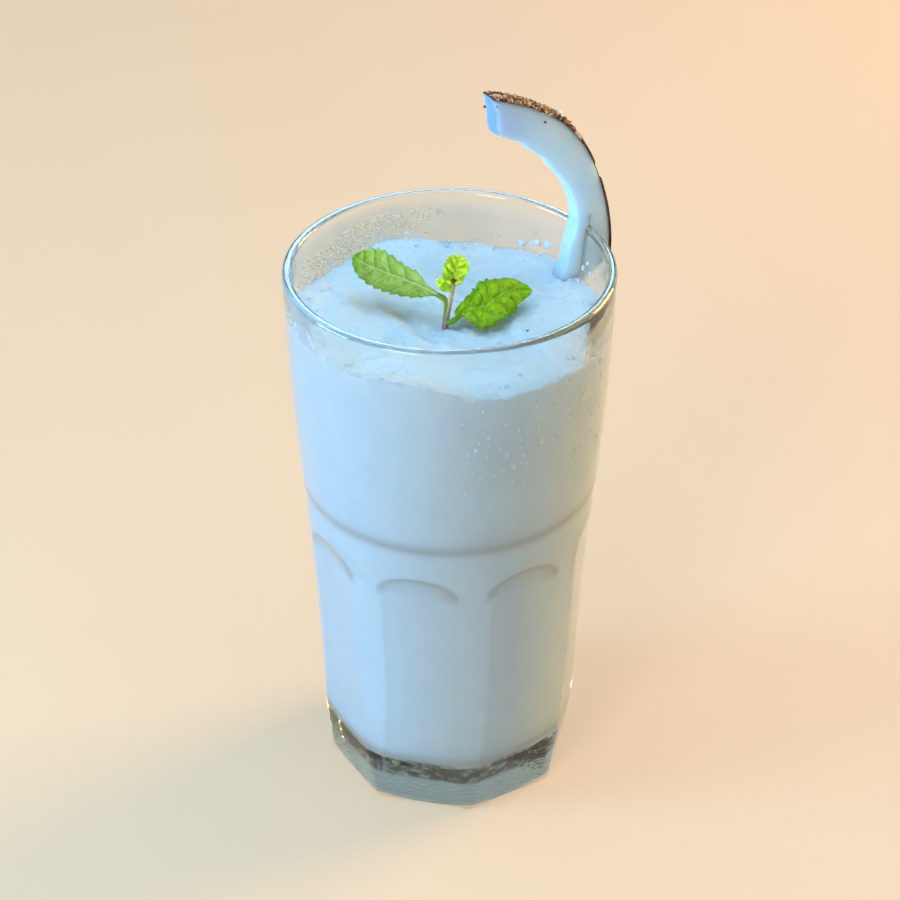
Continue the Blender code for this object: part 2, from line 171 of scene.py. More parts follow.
class Rule:
    """A node's output, with which the rule of a shape or a tone is written as a formula."""

    def __init__(self, socket):
        self.socket = socket

    def math(self, operation, *others):
        made = add_node(self.socket.id_data, "ShaderNodeMath", dict(enumerate((self, *others))),
                        operation=operation)
        return Rule(made.outputs[0])

    def __add__(self, other):
        return self.math("ADD", other)

    def __sub__(self, other):
        return self.math("SUBTRACT", other)

    def __mul__(self, other):
        return self.math("MULTIPLY", other)

    def __truediv__(self, other):
        return self.math("DIVIDE", other)

    def __pow__(self, other):
        return self.math("POWER", other)

    def within(self, low, high):
        return self.math("MINIMUM", high).math("MAXIMUM", low)

    def bell(self):
        return (self * self * -1.0).math("EXPONENT")

    def span(self, low, high, to_low=0.0, to_high=1.0):
        """What lies between low and high, carried over to between to_low and to_high."""
        return Rule(add_node(self.socket.id_data, "ShaderNodeMapRange",
                             dict(enumerate((self, low, high, to_low, to_high)))).outputs[0])


def split(tree, place):
    """The three numbers of a place."""
    return [Rule(s) for s in add_node(tree, "ShaderNodeSeparateXYZ", {0: place}).outputs]


def join(tree, *numbers):
    """A place or a size from three numbers."""
    return add_node(tree, "ShaderNodeCombineXYZ", dict(enumerate(numbers)))


def stored(tree, name):
    """Number that the piece has stored under this name."""
    if isinstance(tree, bpy.types.GeometryNodeTree):
        return Rule(add_node(tree, "GeometryNodeInputNamedAttribute", {0: name},
                             data_type="FLOAT").outputs[0])
    return Rule(add_node(tree, "ShaderNodeAttribute", attribute_name=name).outputs["Fac"])


def shaping_tree(name, **sizes):
    """Geometry tree with a named input for each size, and those inputs by name."""
    tree = bpy.data.node_groups.new(name, "GeometryNodeTree")
    tree.interface.new_socket("Geometry", in_out="INPUT", socket_type="NodeSocketGeometry")
    tree.interface.new_socket("Geometry", in_out="OUTPUT", socket_type="NodeSocketGeometry")
    for label, value in sizes.items():
        kind = {bpy.types.Material: "Material", int: "Int"}.get(type(value), "Float")
        socket = tree.interface.new_socket(label.replace("_", " ").title(), in_out="INPUT",
                                           socket_type="NodeSocket" + kind)
        if kind != "Material":
            socket.default_value = value
    inputs = tree.nodes.new("NodeGroupInput").outputs
    return tree, {s.name: Rule(s) for s in inputs if s.name}


def spots_on(tree, size, name):
    """Spots on the piece, more of them where the number stored under this name is higher."""
    return add_node(tree, "GeometryNodeDistributePointsOnFaces",
                    {"Mesh": size["Geometry"], "Distance Min": size["Spacing"],
                     "Density Max": size["Most"], "Density Factor": stored(tree, name),
                     "Seed": size["Seed"]}, distribute_method="POISSON")


def random_size(tree, least, most, power, seed):
    """Size between two others, which a higher power keeps nearer to the smaller."""
    chance = add_node(tree, "FunctionNodeRandomValue", {"Min": 0.0, "Max": 1.0, "Seed": seed},
                      data_type="FLOAT")
    return Rule(chance.outputs["Value"]) ** power * (most - least) + least


def end_tree(tree, size, geometry):
    """End a tree with real faces in its finish."""
    real = add_node(tree, "GeometryNodeRealizeInstances", {0: geometry})
    done = add_node(tree, "GeometryNodeSetMaterial", {"Geometry": real,
                                                      "Material": size["Finish"]})
    feed(tree.nodes.new("NodeGroupOutput"), {0: done})


def keep_made(piece, modifier):
    """Make what a modifier gives the piece's own mesh, and take the modifier off."""
    graph = bpy.context.evaluated_depsgraph_get()
    mesh = bpy.data.meshes.new_from_object(piece.evaluated_get(graph),
                                           preserve_all_data_layers=True, depsgraph=graph)
    piece.modifiers.remove(modifier)
    old, piece.data = piece.data, mesh
    bpy.data.meshes.remove(old)


def shape_with(piece, tree, **sizes):
    """Run a tree on a piece with these sizes, and keep what it makes."""
    modifier = piece.modifiers.new(tree.name, "NODES")
    modifier.node_group = tree
    names = {label.replace("_", " ").title(): value for label, value in sizes.items()}
    for item in tree.interface.items_tree:
        if item.in_out == "INPUT" and item.name in names:
            modifier[item.identifier] = names[item.name]
    keep_made(piece, modifier)


def finish_of(name, color, **sockets):
    """Material with these values on its shader: its tree, its shader and itself."""
    material = bpy.data.materials.new(name)
    material.use_nodes = True
    shader = material.node_tree.nodes["Principled BSDF"]
    feed(shader, {"Base Color": (*color, 1.0)})
    feed(shader, {socket.replace("_", " ").title().replace("Ior", "IOR"): value
                  for socket, value in sockets.items()})
    return material.node_tree, shader, material


def place_on(tree):
    """Place on the piece, in its own coordinates, for a material."""
    return add_node(tree, "ShaderNodeTexCoord").outputs["Object"]


def grain(tree, scale, detail=3.0, roughness=0.5, stretch=(1.0, 1.0, 1.0)):
    """Noise that is fixed to the piece."""
    place = add_node(tree, "ShaderNodeMapping", {"Vector": place_on(tree), "Scale": stretch})
    return Rule(add_node(tree, "ShaderNodeTexNoise",
                         {"Vector": place, "Scale": scale, "Detail": detail,
                          "Roughness": roughness}).outputs[0])


def blend(tree, share, first, second):
    """The first colour, which the share turns into the second."""
    return add_node(tree, "ShaderNodeMix", {"Factor": share, 6: first, 7: (*second, 1.0)},
                    data_type="RGBA").outputs[2]


def tones(tree, value, *stops):
    """Colour that runs through stops of (value, color)."""
    made = add_node(tree, "ShaderNodeValToRGB", {0: value})
    ramp = made.color_ramp.elements
    for element, (position, color) in ((ramp[0], stops[0]), (ramp[1], stops[-1])):
        element.position, element.color = position, (*color, 1.0)
    for position, color in stops[1:-1]:
        ramp.new(position).color = (*color, 1.0)
    return made.outputs[0]


def bumps(tree, height, strength, distance):
    """Fine relief for a shader, too shallow to be a shape."""
    return add_node(tree, "ShaderNodeBump", {"Height": height, "Strength": strength,
                                             "Distance": distance})


azimuths = []
for panel in range(PANELS):
    for k in range(PANEL_COLUMNS):      # they stand closer together near the upright edges
        t = 2.0 * k / PANEL_COLUMNS - 1.0
        spread = 0.35 * t + 0.65 * math.sin(0.5 * math.pi * t)
        azimuths.append(FRONT_EDGE + (2 * panel + 1 + spread) * math.pi / PANELS)

rows = []                   # radius, height, pressed or not, inset of the foot's edge
for k in range(1, 25):
    radius = 0.00115 * k
    lift = max(0.0, 1.0 - (radius / 0.0275) ** 2)
    rows.append((radius, PUNT * lift ** 0.8, 0.0, 0.0))
rows.append((FOOT_RING, 0.0001, 0.0, 0.0))
for radius in (0.0292, 0.0300):
    rows.append((radius, 0.0, 1.0, 0.0))
for k in range(6):
    turn = 0.5 * math.pi * k / 5
    rows.append((BODY_RADIUS, FOOT_EDGE * (1.0 - math.cos(turn)), 1.0,
                 FOOT_EDGE * (1.0 - math.sin(turn))))
# rows of the wall: from, to, count; they stand closest over the arches and the ridge
for start, stop, count in ((0.0014, 0.070, 38), (0.0706, 0.0762, 9), (0.0765, 0.0947, 74),
                           (0.0955, 0.1532, 34)):
    for height in np.linspace(start, stop, count):
        eased = [blank_radius(height + 0.0001 * k) for k in range(-3, 4)]
        rows.append((sum(eased) / 7.0, height, 1.0, 0.0))
for k in range(15):
    turn = math.pi * k / 14
    rows.append((RIM_RADIUS - 0.5 * LIP + 0.5 * LIP * math.cos(turn),
                 GLASS_HEIGHT - 0.5 * LIP + 0.5 * LIP * math.sin(turn), 0.0, 0.0))
for height in np.linspace(GLASS_HEIGHT - 0.5 * LIP, FLOOR + CORNER, 52)[1:]:
    rows.append((bore_radius(height), height, 0.0, 0.0))
hub = bore_radius(FLOOR + CORNER) - CORNER
for k in range(1, 11):
    turn = 0.5 * math.pi * k / 10
    rows.append((hub + CORNER * math.cos(turn), FLOOR + CORNER - CORNER * math.sin(turn),
                 0.0, 0.0))
for radius in (0.017, 0.012, 0.006):
    rows.append((radius, FLOOR, 0.0, 0.0))

tumbler = ring_skin("tumbler", [[polar(a, r, z) for a in azimuths] for r, z, _, _ in rows],
                    (0.0, 0.0, PUNT), (0.0, 0.0, FLOOR))
for name, column in (("pressed", 2), ("inset", 3)):
    mark(tumbler, name, [row[column] for row in rows for _ in azimuths] + [0.0, 0.0])

# mist on the inside above the shake, thickest at the back on the left, a painted reflection of
# the light behind as a pale haze on the lip at the back, and the ring of small stipples that the
# mould leaves under the foot
MIST_FOOT, MIST_TOP, LIP_FOOT = 0.1380, 0.1542, 0.1541
STIPPLE_FROM, STIPPLE_TO, STIPPLE_TOP = 0.012, 0.031, 0.0021
mist_and_lip_sheen, stipple = np.zeros((2, len(tumbler.data.vertices)))
for k, vertex in enumerate(tumbler.data.vertices):
    px, py, pz = vertex.co
    reach = math.hypot(px, py)
    if pz > MIST_FOOT and reach < bore_radius(pz) + 0.0002:
        to_right = min(1.0, max(-1.0, px / 0.015))
        mist_and_lip_sheen[k] = clamp((MIST_TOP - pz) / 0.004) * (0.08 + (0.77 - 0.15 * to_right)
                                                    * clamp(0.35 + py / reach))
    # painted reflection: the lip's top at the back is made pale, hazed and rougher, for the bright
    # light behind
    if pz > LIP_FOOT:
        mist_and_lip_sheen[k] = 0.5 * clamp(1.6 * py / reach)
    if pz < STIPPLE_TOP and STIPPLE_FROM < reach < STIPPLE_TO:
        stipple[k] = min(1.0, (reach - STIPPLE_FROM) / 0.003, (STIPPLE_TO - reach) / 0.001)
mark(tumbler, "mist_and_lip_sheen", mist_and_lip_sheen)
mark(tumbler, "stipple", stipple)

# painted shade and reflection in the glass's colour: shade in the creases of the panels, and a
# speckled dark reflection in a band of the foot
GLASS_TINT = (0.95, 0.985, 0.975)
tree, shader, clear_glass = finish_of("clear_glass", GLASS_TINT, roughness=0.02,
                                      transmission_weight=1.0, ior=1.52)
# the veil is real mist on the inside, and painted reflection on the lip at the back
veil_and_sheen = stored(tree, "mist_and_lip_sheen") * grain(tree, 90.0, 1.0).span(0.3, 0.7, 0.75, 1.0)
# painted shade: where the crease shade is stored, the glass turns brown-grey
shaded_creases = blend(tree, stored(tree, "crease_shade"), (*GLASS_TINT, 1.0), (0.40, 0.35, 0.27))
height = split(tree, place_on(tree))[2]
# painted reflection: a speckled dark brown band low in the foot, for the dark surroundings that the
# foot reflects
reflection_speckle = grain(tree, 300.0, 6.0, 0.8, (1.0, 1.0, 1.6)).span(0.49, 0.64, 1.0, 0.2)
band = height.span(0.0096, 0.0108) * height.span(0.0160, 0.0172, 1.0, 0.0) * reflection_speckle
painted_foot_reflection = blend(tree, band, shaded_creases, (0.055, 0.032, 0.026))
dots = Rule(add_node(tree, "ShaderNodeTexVoronoi", {"Vector": place_on(tree), "Scale": 620.0})
            .outputs["Distance"]) * stored(tree, "stipple")
feed(shader, {"Transmission Weight": veil_and_sheen.span(0.0, 1.0, 1.0, 0.72),
              "Base Color": blend(tree, veil_and_sheen, painted_foot_reflection, (0.54, 0.66, 0.72)),
              "Roughness": veil_and_sheen * 0.3 + grain(tree, 45.0, 5.0).span(0.4, 0.75, 0.0, 0.04),
              "Normal": bumps(tree, dots * 3.0 + grain(tree, 160.0, 2.0), 0.16, 0.0004)})
feed(tree.nodes["Material Output"],
     {"Volume": add_node(tree, "ShaderNodeVolumeAbsorption", {"Color": (0.60, 0.87, 0.95, 1.0),
                                                              "Density": 16.0})})

tree, size = shaping_tree("Pressed Panels", panels=float(PANELS), front_edge=0.0,
                          cusp_height=CUSP, arch_height=0.083, arch_radius=BODY_RADIUS,
                          scoop_power=1.7, edge_at_foot=0.035, edge_lean=0.0122,
                          edge_swell=0.40223, foot_lean=0.0014, foot_height=0.016,
                          rib_reach=0.040, rib_angle=math.radians(7.5), edge_softness=0.0007,
                          arch_softness=0.0005, mould_wave=0.00008, edge_line=0.00016,
                          ridge_height=0.0925, ridge_width=0.0020, arch_shade=0.0009,
                          arch_fade=0.003, side_shade=0.006, finish=clear_glass)
place = add_node(tree, "GeometryNodeInputPosition")
x, y, z = split(tree, place)
radius = (x * x + y * y) ** 0.5
half = size["Panels"].math("DIVIDE", math.pi) ** -1.0
azimuth = x.math("ARCTAN2", y * -1.0)
from_middle = (azimuth - size["Front Edge"] - half).math("WRAP", half, half * -1.0)
low = z.math("MINIMUM", size["Cusp Height"])
lean = (z / size["Foot Height"] * -1.0 + 1.0).math("MAXIMUM", 0.0) * size["Foot Lean"]
edge = (size["Edge Swell"] * low + size["Edge Lean"]) * low + size["Edge At Foot"] - lean
rib = (size["Edge Swell"] * z + size["Edge Lean"]) * z + size["Edge At Foot"] - lean
rounded = (z / size["Rib Reach"]).within(0.0, 1.0) ** 0.6
reach = half - rounded * size["Rib Angle"]
flat = edge * reach.math("COSINE")
rise = (z - size["Cusp Height"]) / (size["Arch Height"] - size["Cusp Height"])
rise = rise.math("MAXIMUM", 0.0) ** size["Scoop Power"]
panel = flat + (size["Arch Radius"] - flat) * rise
wave = Rule(add_node(tree, "ShaderNodeTexNoise", {"Vector": place, "Scale": 130.0,
                                                  "Detail": 1.0}).outputs[0]) - 0.5
panel = panel + wave * size["Mould Wave"]
near = panel / from_middle.math("COSINE")
far = panel / (half * 2.0 - from_middle.math("ABSOLUTE")).math("COSINE")
cut = near.math("SMOOTH_MIN", far, size["Edge Softness"])
cut = rib.math("SMOOTH_MIN", cut, size["Arch Softness"])
cut = radius.math("SMOOTH_MIN", cut, size["Arch Softness"])
pressed = stored(tree, "pressed")
scale = ((cut - stored(tree, "inset")) / radius - 1.0) * pressed + 1.0
# painted shade in the creases: along the upright edges, at the ridge, under each arch and beside
# each panel
line = ((rib - near) / size["Edge Line"]).bell() * 0.08
ridge = ((z - size["Ridge Height"]) / size["Ridge Width"]).bell() * 0.7
under = (radius - near) / size["Arch Shade"]
under = (under * -1.0).math("EXPONENT") * (under * 3.0).within(0.0, 1.4)
under = under * ((z - size["Cusp Height"]) / size["Arch Fade"] + 0.9).within(0.0, 1.0)
panel_side_shade = (from_middle + reach) * radius / size["Side Shade"]
panel_side_shade = (panel_side_shade * -1.0).math("EXPONENT") * rib.math("GREATER_THAN", near) * 0.3
crease_shade = line.math("MAXIMUM", ridge).math("MAXIMUM", under).math("MAXIMUM", panel_side_shade) * pressed
crease_shade = crease_shade * z.math("GREATER_THAN", size["Foot Height"])
kept = add_node(tree, "GeometryNodeStoreNamedAttribute",
                {"Geometry": size["Geometry"], "Name": "crease_shade", "Value": crease_shade},
                data_type="FLOAT", domain="POINT")
moved = add_node(tree, "GeometryNodeSetPosition", {"Geometry": kept,
                                                   "Position": join(tree, x * scale, y * scale, z)})
end_tree(tree, size, moved)
shape_with(tumbler, tree, front_edge=FRONT_EDGE, finish=clear_glass)
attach(tumbler, "root")
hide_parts("glass_tumbler")


# The shake is blended coconut and milk, poured cold, with a soft froth on top that stands
# higher where it clings to the glass.  It reaches just into the wall, so that it lies on the
# glass with no air between them.

LEVEL = 0.1413              # height of the froth away from the wall
INTO_WALL = 0.0002
WALL_TOP = 0.1365           # the side of the shake is regular up to here
FROTH_RADIUS = 0.0388       # of the froth at the wall
SHAKE_SIDES = 420
FROTH_RINGS = 96
OUTER_RING = 0.0391         # radius of the outermost of those rings
BUBBLES_FROM = 0.1385
# the line of the froth along the wall: degrees from the front, height
BRIM = ((-180, 0.1404), (-157, 0.1425), (-140, 0.1410), (-120, 0.1404), (-98, 0.1434),
        (-65, 0.1437), (-40, 0.1430), (-18, 0.1437), (-5, 0.1430), (10, 0.1394), (45, 0.1397),
        (70, 0.1394), (98, 0.1424), (118, 0.1403), (138, 0.1416), (155, 0.1402), (180, 0.1404))
SLICE_AZIMUTH = math.radians(122.0)


def smooth(stations, place):
    """Value at a place on the smooth curve through stations of (place, value)."""
    if place <= stations[0][0]:
        return stations[0][1]
    for k in range(len(stations) - 1):
        (x0, y0), (x1, y1) = stations[k], stations[k + 1]
        if place <= x1:
            xa, ya = stations[max(k - 1, 0)]
            xb, yb = stations[min(k + 2, len(stations) - 1)]
            start = (y1 - ya) / (x1 - xa) * (x1 - x0)
            end = (yb - y0) / (xb - x0) * (x1 - x0)
            t = (place - x0) / (x1 - x0)
            return (y0 * (1.0 - 3.0 * t * t + 2.0 * t ** 3) + start * (t - 2.0 * t * t + t ** 3)
                    + y1 * (3.0 * t * t - 2.0 * t ** 3) + end * (t ** 3 - t * t))
    return stations[-1][1]


rng = random.Random(12)
mounds = []
for k in range(46):
    mx, my, _ = polar(k * 2.39996, 0.040 * math.sqrt((k + 0.5) / 46), 0.0)
    mounds.append((mx, my, 0.0012 * rng.uniform(-0.6, 1.0), rng.uniform(0.0035, 0.0085)))
mounds.append((*polar(SLICE_AZIMUTH, 0.0365, 0.0)[:2], 0.0012, 0.006))
mounds.append((-0.0011, -0.0079, -0.0006, 0.004))
folds = (((-0.0176, -0.0005), (-0.0083, -0.0152), 0.0005, 0.0019),      # from, to, lift, width
         ((-0.0138, -0.0010), (-0.0050, -0.0135), -0.0007, 0.0016),
         ((-0.0260, 0.0040), (-0.0200, -0.0120), 0.0005, 0.0020),
         ((-0.0080, -0.0150), (0.0040, -0.0190), 0.0007, 0.0018),
         ((0.0000, -0.0105), (0.0110, -0.0135), 0.0007, 0.0014),
         ((0.0200, 0.0120), (0.0290, 0.0020), 0.0005, 0.0018),
         ((-0.0100, 0.0230), (-0.0020, 0.0130), 0.0006, 0.0018))


def froth_top(px, py):
    """Height of the froth: soft mounds, folds and fine curds, and the line along the wall."""
    near_wall = min(1.0, math.hypot(px, py) / FROTH_RADIUS)
    rise = sum(lift * math.exp(-((px - mx) ** 2 + (py - my) ** 2) / reach ** 2)
               for mx, my, lift, reach in mounds)
    spot = Vector((px, py, 0.0))
    bend = 0.0012 * noise.noise(spot * 140.0)
    for (ax, ay), (bx, by), lift, width in folds:
        ex, ey = bx - ax, by - ay
        t = clamp(((px - ax) * ex + (py - ay) * ey) / (ex * ex + ey * ey))
        rise += lift * bell((math.hypot(px - ax - ex * t, py - ay - ey * t) + bend) / width)
    ripple = noise.ridged_multi_fractal(spot * 110.0, 1.0, 2.1, 3, 1.0, 2.0)
    curd = noise.fractal(spot * 330.0, 0.7, 2.0, 3)
    rise += 0.0007 * (ripple - 1.2) + 0.00042 * curd
    brim = smooth(BRIM, math.degrees(math.atan2(px, -py)))
    brim += (0.0008 * noise.noise(spot * 240.0) + 0.0006 * noise.noise(spot * 700.0)) * near_wall
    return LEVEL + (brim - LEVEL) * near_wall ** 3 + rise * (1.0 - 0.6 * near_wall ** 6)


turns = [2.0 * math.pi * k / SHAKE_SIDES for k in range(SHAKE_SIDES)]


def circle(radius, height):
    """Level ring of the shake's points."""
    return [polar(a, radius, height) for a in turns]


def froth_ring(reach):
    """Ring of points on the froth, at a distance from the axis."""
    return [(px, py, froth_top(px, py)) for px, py, _ in circle(reach, 0.0)]


rows = [circle(radius, FLOOR - INTO_WALL) for radius in (0.006, 0.012, 0.017)]
for k in range(10, 0, -1):
    turn = 0.5 * math.pi * k / 10
    rows.append(circle(hub + (CORNER + INTO_WALL) * math.cos(turn),
                       FLOOR + CORNER - (CORNER + INTO_WALL) * math.sin(turn)))
for height in np.linspace(FLOOR + CORNER, WALL_TOP, 34):
    rows.append(circle(bore_radius(height) + INTO_WALL, height))
brim_row = froth_ring(bore_radius(0.141) + INTO_WALL)
for share in (0.35, 0.7, 1.0):
    heights = [WALL_TOP + (top[2] - WALL_TOP) * share for top in brim_row]
    rows.append([polar(a, bore_radius(height) + INTO_WALL, height)
                 for a, height in zip(turns, heights)])
for k in range(1, FROTH_RINGS):
    rows.append(froth_ring(OUTER_RING * (1.0 - k / FROTH_RINGS)))
shake = ring_skin("shake", rows, (0.0, 0.0, FLOOR - INTO_WALL), (0.0, 0.0, froth_top(0.0, 0.0)))

tree, shader, shake_finish = finish_of("white_shake", (0.77, 0.87, 0.94), roughness=0.42,
                                       subsurface_weight=0.6, subsurface_scale=0.002,
                                       subsurface_radius=(1.0, 0.95, 0.85),
                                       specular_ior_level=0.35)
feed(shader, {"Base Color": tones(tree, grain(tree, 140.0, 4.0), (0.30, (0.745, 0.85, 0.93)),
                                  (0.70, (0.78, 0.88, 0.95))),
              "Roughness": grain(tree, 320.0, 4.0).span(0.3, 0.7, 0.34, 0.55),
              "Normal": bumps(tree, grain(tree, 1500.0, 3.0, 0.6), 0.35, 0.0003)})
shake.data.materials.append(shake_finish)

# small bubbles break the surface, most of them along the wall
froth = np.zeros(len(shake.data.vertices))
for k, vertex in enumerate(shake.data.vertices):
    px, py, pz = vertex.co
    near_wall = math.hypot(px, py) / FROTH_RADIUS
    if pz > BUBBLES_FROM and near_wall < 1.0:
        patch = max(0.0, noise.noise(Vector((px, py, 0.0)) * 150.0) + 0.15)
        froth[k] = patch * (0.01 + 0.99 * max(0.0, near_wall - 0.80) / 0.20)
mark(shake, "froth", froth)

tree, size = shaping_tree("Froth Bubbles", spacing=0.0006, most=3000000.0, smallest=0.00014,
                          largest=0.0007, seed=5, finish=shake_finish)
bubble = add_node(tree, "GeometryNodeMeshUVSphere", {"Segments": 9, "Rings": 5, "Radius": 1.0})
bubble = add_node(tree, "GeometryNodeSetShadeSmooth", {0: bubble})
many = add_node(tree, "GeometryNodeInstanceOnPoints",
                {"Points": spots_on(tree, size, "froth"), "Instance": bubble,
                 "Scale": random_size(tree, size["Smallest"], size["Largest"], 4.0, 9)})
end_tree(tree, size, many)
bubbles = put("froth_bubbles", shake.data.copy())
shape_with(bubbles, tree, finish=shake_finish)
for piece in (shake, bubbles):
    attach(piece, "root")
    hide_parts("coconut_shake")


def dab(degrees, height, width, tall, thick, seed):
    """Fleck of shake stuck to the inside of the wall."""
    ring_count, sides, azimuth = 5, 18, math.radians(degrees)
    rings = []
    for k in range(ring_count, 0, -1):
        t = k / ring_count
        ring = []
        for s in range(sides):
            turn = 2.0 * math.pi * s / sides
            way = (math.cos(turn), math.sin(turn))
            uneven = 1.0 + 0.35 * noise.noise(Vector((way[0] * 1.3, way[1] * 1.3, seed * 3.7)))
            place = height + 0.5 * tall * t * uneven * way[1]
            sweep = 0.5 * width * t * uneven * way[0] / 0.040
            ring.append(polar(azimuth + sweep, bore_radius(place) + 0.00005
                              - thick * (1.0 - t * t), place))
        rings.append(ring)
    wall = bore_radius(height)
    return ring_skin("dab", rings, polar(azimuth, wall + INTO_WALL, height),
                     polar(azimuth, wall - thick, height))


# degrees from the front, height, width, height of the fleck, thickness
for k, sizes in enumerate((
        (161.5, 0.1430, 0.0026, 0.0006, 0.0003), (152.6, 0.1430, 0.0020, 0.0015, 0.0006),
        (150.0, 0.1427, 0.0026, 0.0024, 0.0008), (149.4, 0.1412, 0.0008, 0.0024, 0.0005),
        (145.4, 0.1436, 0.0024, 0.0016, 0.0006), (143.2, 0.1440, 0.0026, 0.0021, 0.0007),
        (138.6, 0.1446, 0.0022, 0.0028, 0.0006), (136.6, 0.1452, 0.0012, 0.0014, 0.0005),
        (-163.0, 0.1436, 0.0024, 0.0010, 0.0006), (-170.0, 0.1432, 0.0013, 0.0007, 0.0004),
        (-152.0, 0.1434, 0.0016, 0.0010, 0.0005), (-146.0, 0.1424, 0.0012, 0.0012, 0.0004),
        (-128.0, 0.1420, 0.0018, 0.0009, 0.0004), (170.0, 0.1412, 0.0014, 0.0006, 0.0003),
        (116.4, 0.1443, 0.0012, 0.0019, 0.0007), (113.4, 0.1466, 0.0011, 0.0012, 0.0006),
        (110.7, 0.1446, 0.0013, 0.0016, 0.0006), (107.6, 0.1447, 0.0008, 0.0010, 0.0005))):
    piece = dab(*sizes, k + 1)
    piece.data.materials.append(shake_finish)
    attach(piece, "root")


# Condensation stands on the cold glass: a band of fine milky beads on the inside above the froth
# at the back on the left, a few clear ones beside the slice, and clear beads and short runs on
# the outside at the front on the right.  One node tree scatters them over patches of the wall.

tree, shader, water = finish_of("water_beads", (0.90, 0.95, 1.0), roughness=0.06,
                                transmission_weight=0.88, ior=1.33)
feed(shader, {"Roughness": grain(tree, 900.0, 2.0).span(0.35, 0.65, 0.10, 0.30)})
tree, shader, fine_beads = finish_of("fine_beads", (1.0, 0.80, 0.57), roughness=0.2)
feed(shader, {"Roughness": grain(tree, 900.0, 2.0).span(0.35, 0.65, 0.15, 0.35)})

beads_tree, size = shaping_tree("Beads", spacing=0.0008, most=900000.0, smallest=0.0002,
                                largest=0.0006, flatness=0.5, run=1.0, seed=1, finish=water)
spots = spots_on(beads_tree, size, "wet")
ball = add_node(beads_tree, "GeometryNodeMeshUVSphere", {"Segments": 9, "Rings": 6,
                                                         "Radius": 1.0})
x, y, z = split(beads_tree, add_node(beads_tree, "GeometryNodeInputPosition"))
bead = add_node(beads_tree, "GeometryNodeSetPosition",
                {"Geometry": ball, "Position": join(beads_tree, x, y, z.math("MAXIMUM", -0.15))})
bead = add_node(beads_tree, "GeometryNodeSetShadeSmooth", {0: bead})
width = random_size(beads_tree, size["Smallest"], size["Largest"], 2.5, 7)
upright = add_node(beads_tree, "FunctionNodeAlignRotationToVector",
                   {"Rotation": spots.outputs["Rotation"], "Vector": (0.0, 0.0, 1.0)},
                   axis="Y", pivot_axis="Z")
many = add_node(beads_tree, "GeometryNodeInstanceOnPoints",
                {"Points": spots, "Instance": bead, "Rotation": upright,
                 "Scale": join(beads_tree, width, width * size["Run"],
                               width * size["Flatness"])})
end_tree(beads_tree, size, many)


def wall_patch(name, from_azimuth, to_azimuth, from_height, to_height, radius_at, inside, wetness):
    """Patch of the wall that faces the inside or the outside, with how wet it is everywhere."""
    across, up = 48, 24
    points, wet_values = [], []
    for j in range(up + 1):
        for i in range(across + 1):
            degrees = from_azimuth + (to_azimuth - from_azimuth) * i / across
            height = from_height + (to_height - from_height) * j / up
            points.append(polar(math.radians(degrees), radius_at(height), height))
            wet_values.append(wetness(degrees, height))
    faces = grid_faces(up, across + 1)
    mesh = bpy.data.meshes.new(name)
    mesh.from_pydata(points, [], [face[::-1] for face in faces] if inside else faces)
    patch = put(name, mesh)
    mark(patch, "wet", wet_values)
    return patch


# where the band of beads begins and ends: degrees from the front, height
BAND_TOP = ((-178, 0.1508), (-170, 0.1506), (-160, 0.1500), (-152, 0.1499), (-142, 0.1500),
            (-131, 0.1477), (-116, 0.1473), (-100, 0.1478), (-70, 0.1482))
BAND_FOOT = ((-178, 0.1487), (-171, 0.1468), (-164, 0.1442), (-150, 0.1434), (-137, 0.1422),
             (-120, 0.1412), (-100, 0.1435), (-70, 0.1440))


def back_band(degrees, height):
    """Wetness at the back on the left, in a band that climbs away from the froth."""
    ragged = 0.0006 * noise.noise(Vector((degrees * 0.11, height * 300.0, 4.0)))
    above = (height - smooth(BAND_FOOT, degrees) - ragged + 0.0004) / 0.0005
    below = (smooth(BAND_TOP, degrees) - height + ragged + 0.0005) / 0.0005
    thin = 0.5 if degrees > -116.0 else 1.0
    return thin * max(0.0, min(1.0, above, below))


def side_patch(degrees, height):
    """Wetness at the back on the right, beside the slice."""
    away = math.hypot((degrees - 145.0) / 8.0, (height - 0.1462) / 0.0018)
    return max(0.0, 0.7 * (1.0 - away))


def outside_patch(degrees, height):
    """Wetness of the outside, in loose drifts."""
    return 0.5 + 0.5 * noise.noise(Vector((degrees * 0.09, height * 160.0, 0.0)))


beads = wall_patch("beads_inside", -178.0, -68.0, 0.1408, 0.1525, bore_radius, True, back_band)
shape_with(beads, beads_tree, spacing=0.00088, most=9000000.0, smallest=0.0003, largest=0.0006,
           flatness=0.7, seed=3, finish=fine_beads)
few = wall_patch("beads_beside_slice", 133.0, 158.0, 0.1430, 0.1490, bore_radius, True,
                 side_patch)
shape_with(few, beads_tree, spacing=0.0007, smallest=0.00014, largest=0.0003, flatness=0.5,
           seed=8, finish=water)
runs = wall_patch("beads_outside", 4.0, 70.0, 0.112, 0.1395, blank_radius, False, outside_patch)
shape_with(runs, beads_tree, spacing=0.0017, most=200000.0, smallest=0.0002, largest=0.0006,
           flatness=0.28, run=2.4, seed=11, finish=water)
for piece in (beads, few, runs):
    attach(piece, "root")


# The coconut is a crescent sawn from the ripe nut: moist white flesh with its thin brown skin
# left on the outer edge.  It was snapped off at the top, and a slot in its foot hooks it over
# the rim, so that one leg reaches into the shake.

SLICE_CENTRE = (0.0006, 0.1530)     # distance from the axis, height
HALF_THICK = 0.0025
FLESH_FOOT = 0.1350         # where the slice ends in the shake
SKIN_FOOT = 0.1405          # where the skin begins
SKIN_GAP = 23.0             # degrees up the curve where the skin has come off
SECTION_POINTS = 72
FLESH_STEPS, SKIN_STEPS = 200, 320
ROUGH_FROM, ROUGH_OVER = 0.92, 0.08     # shares of the length: the snapped end is rough
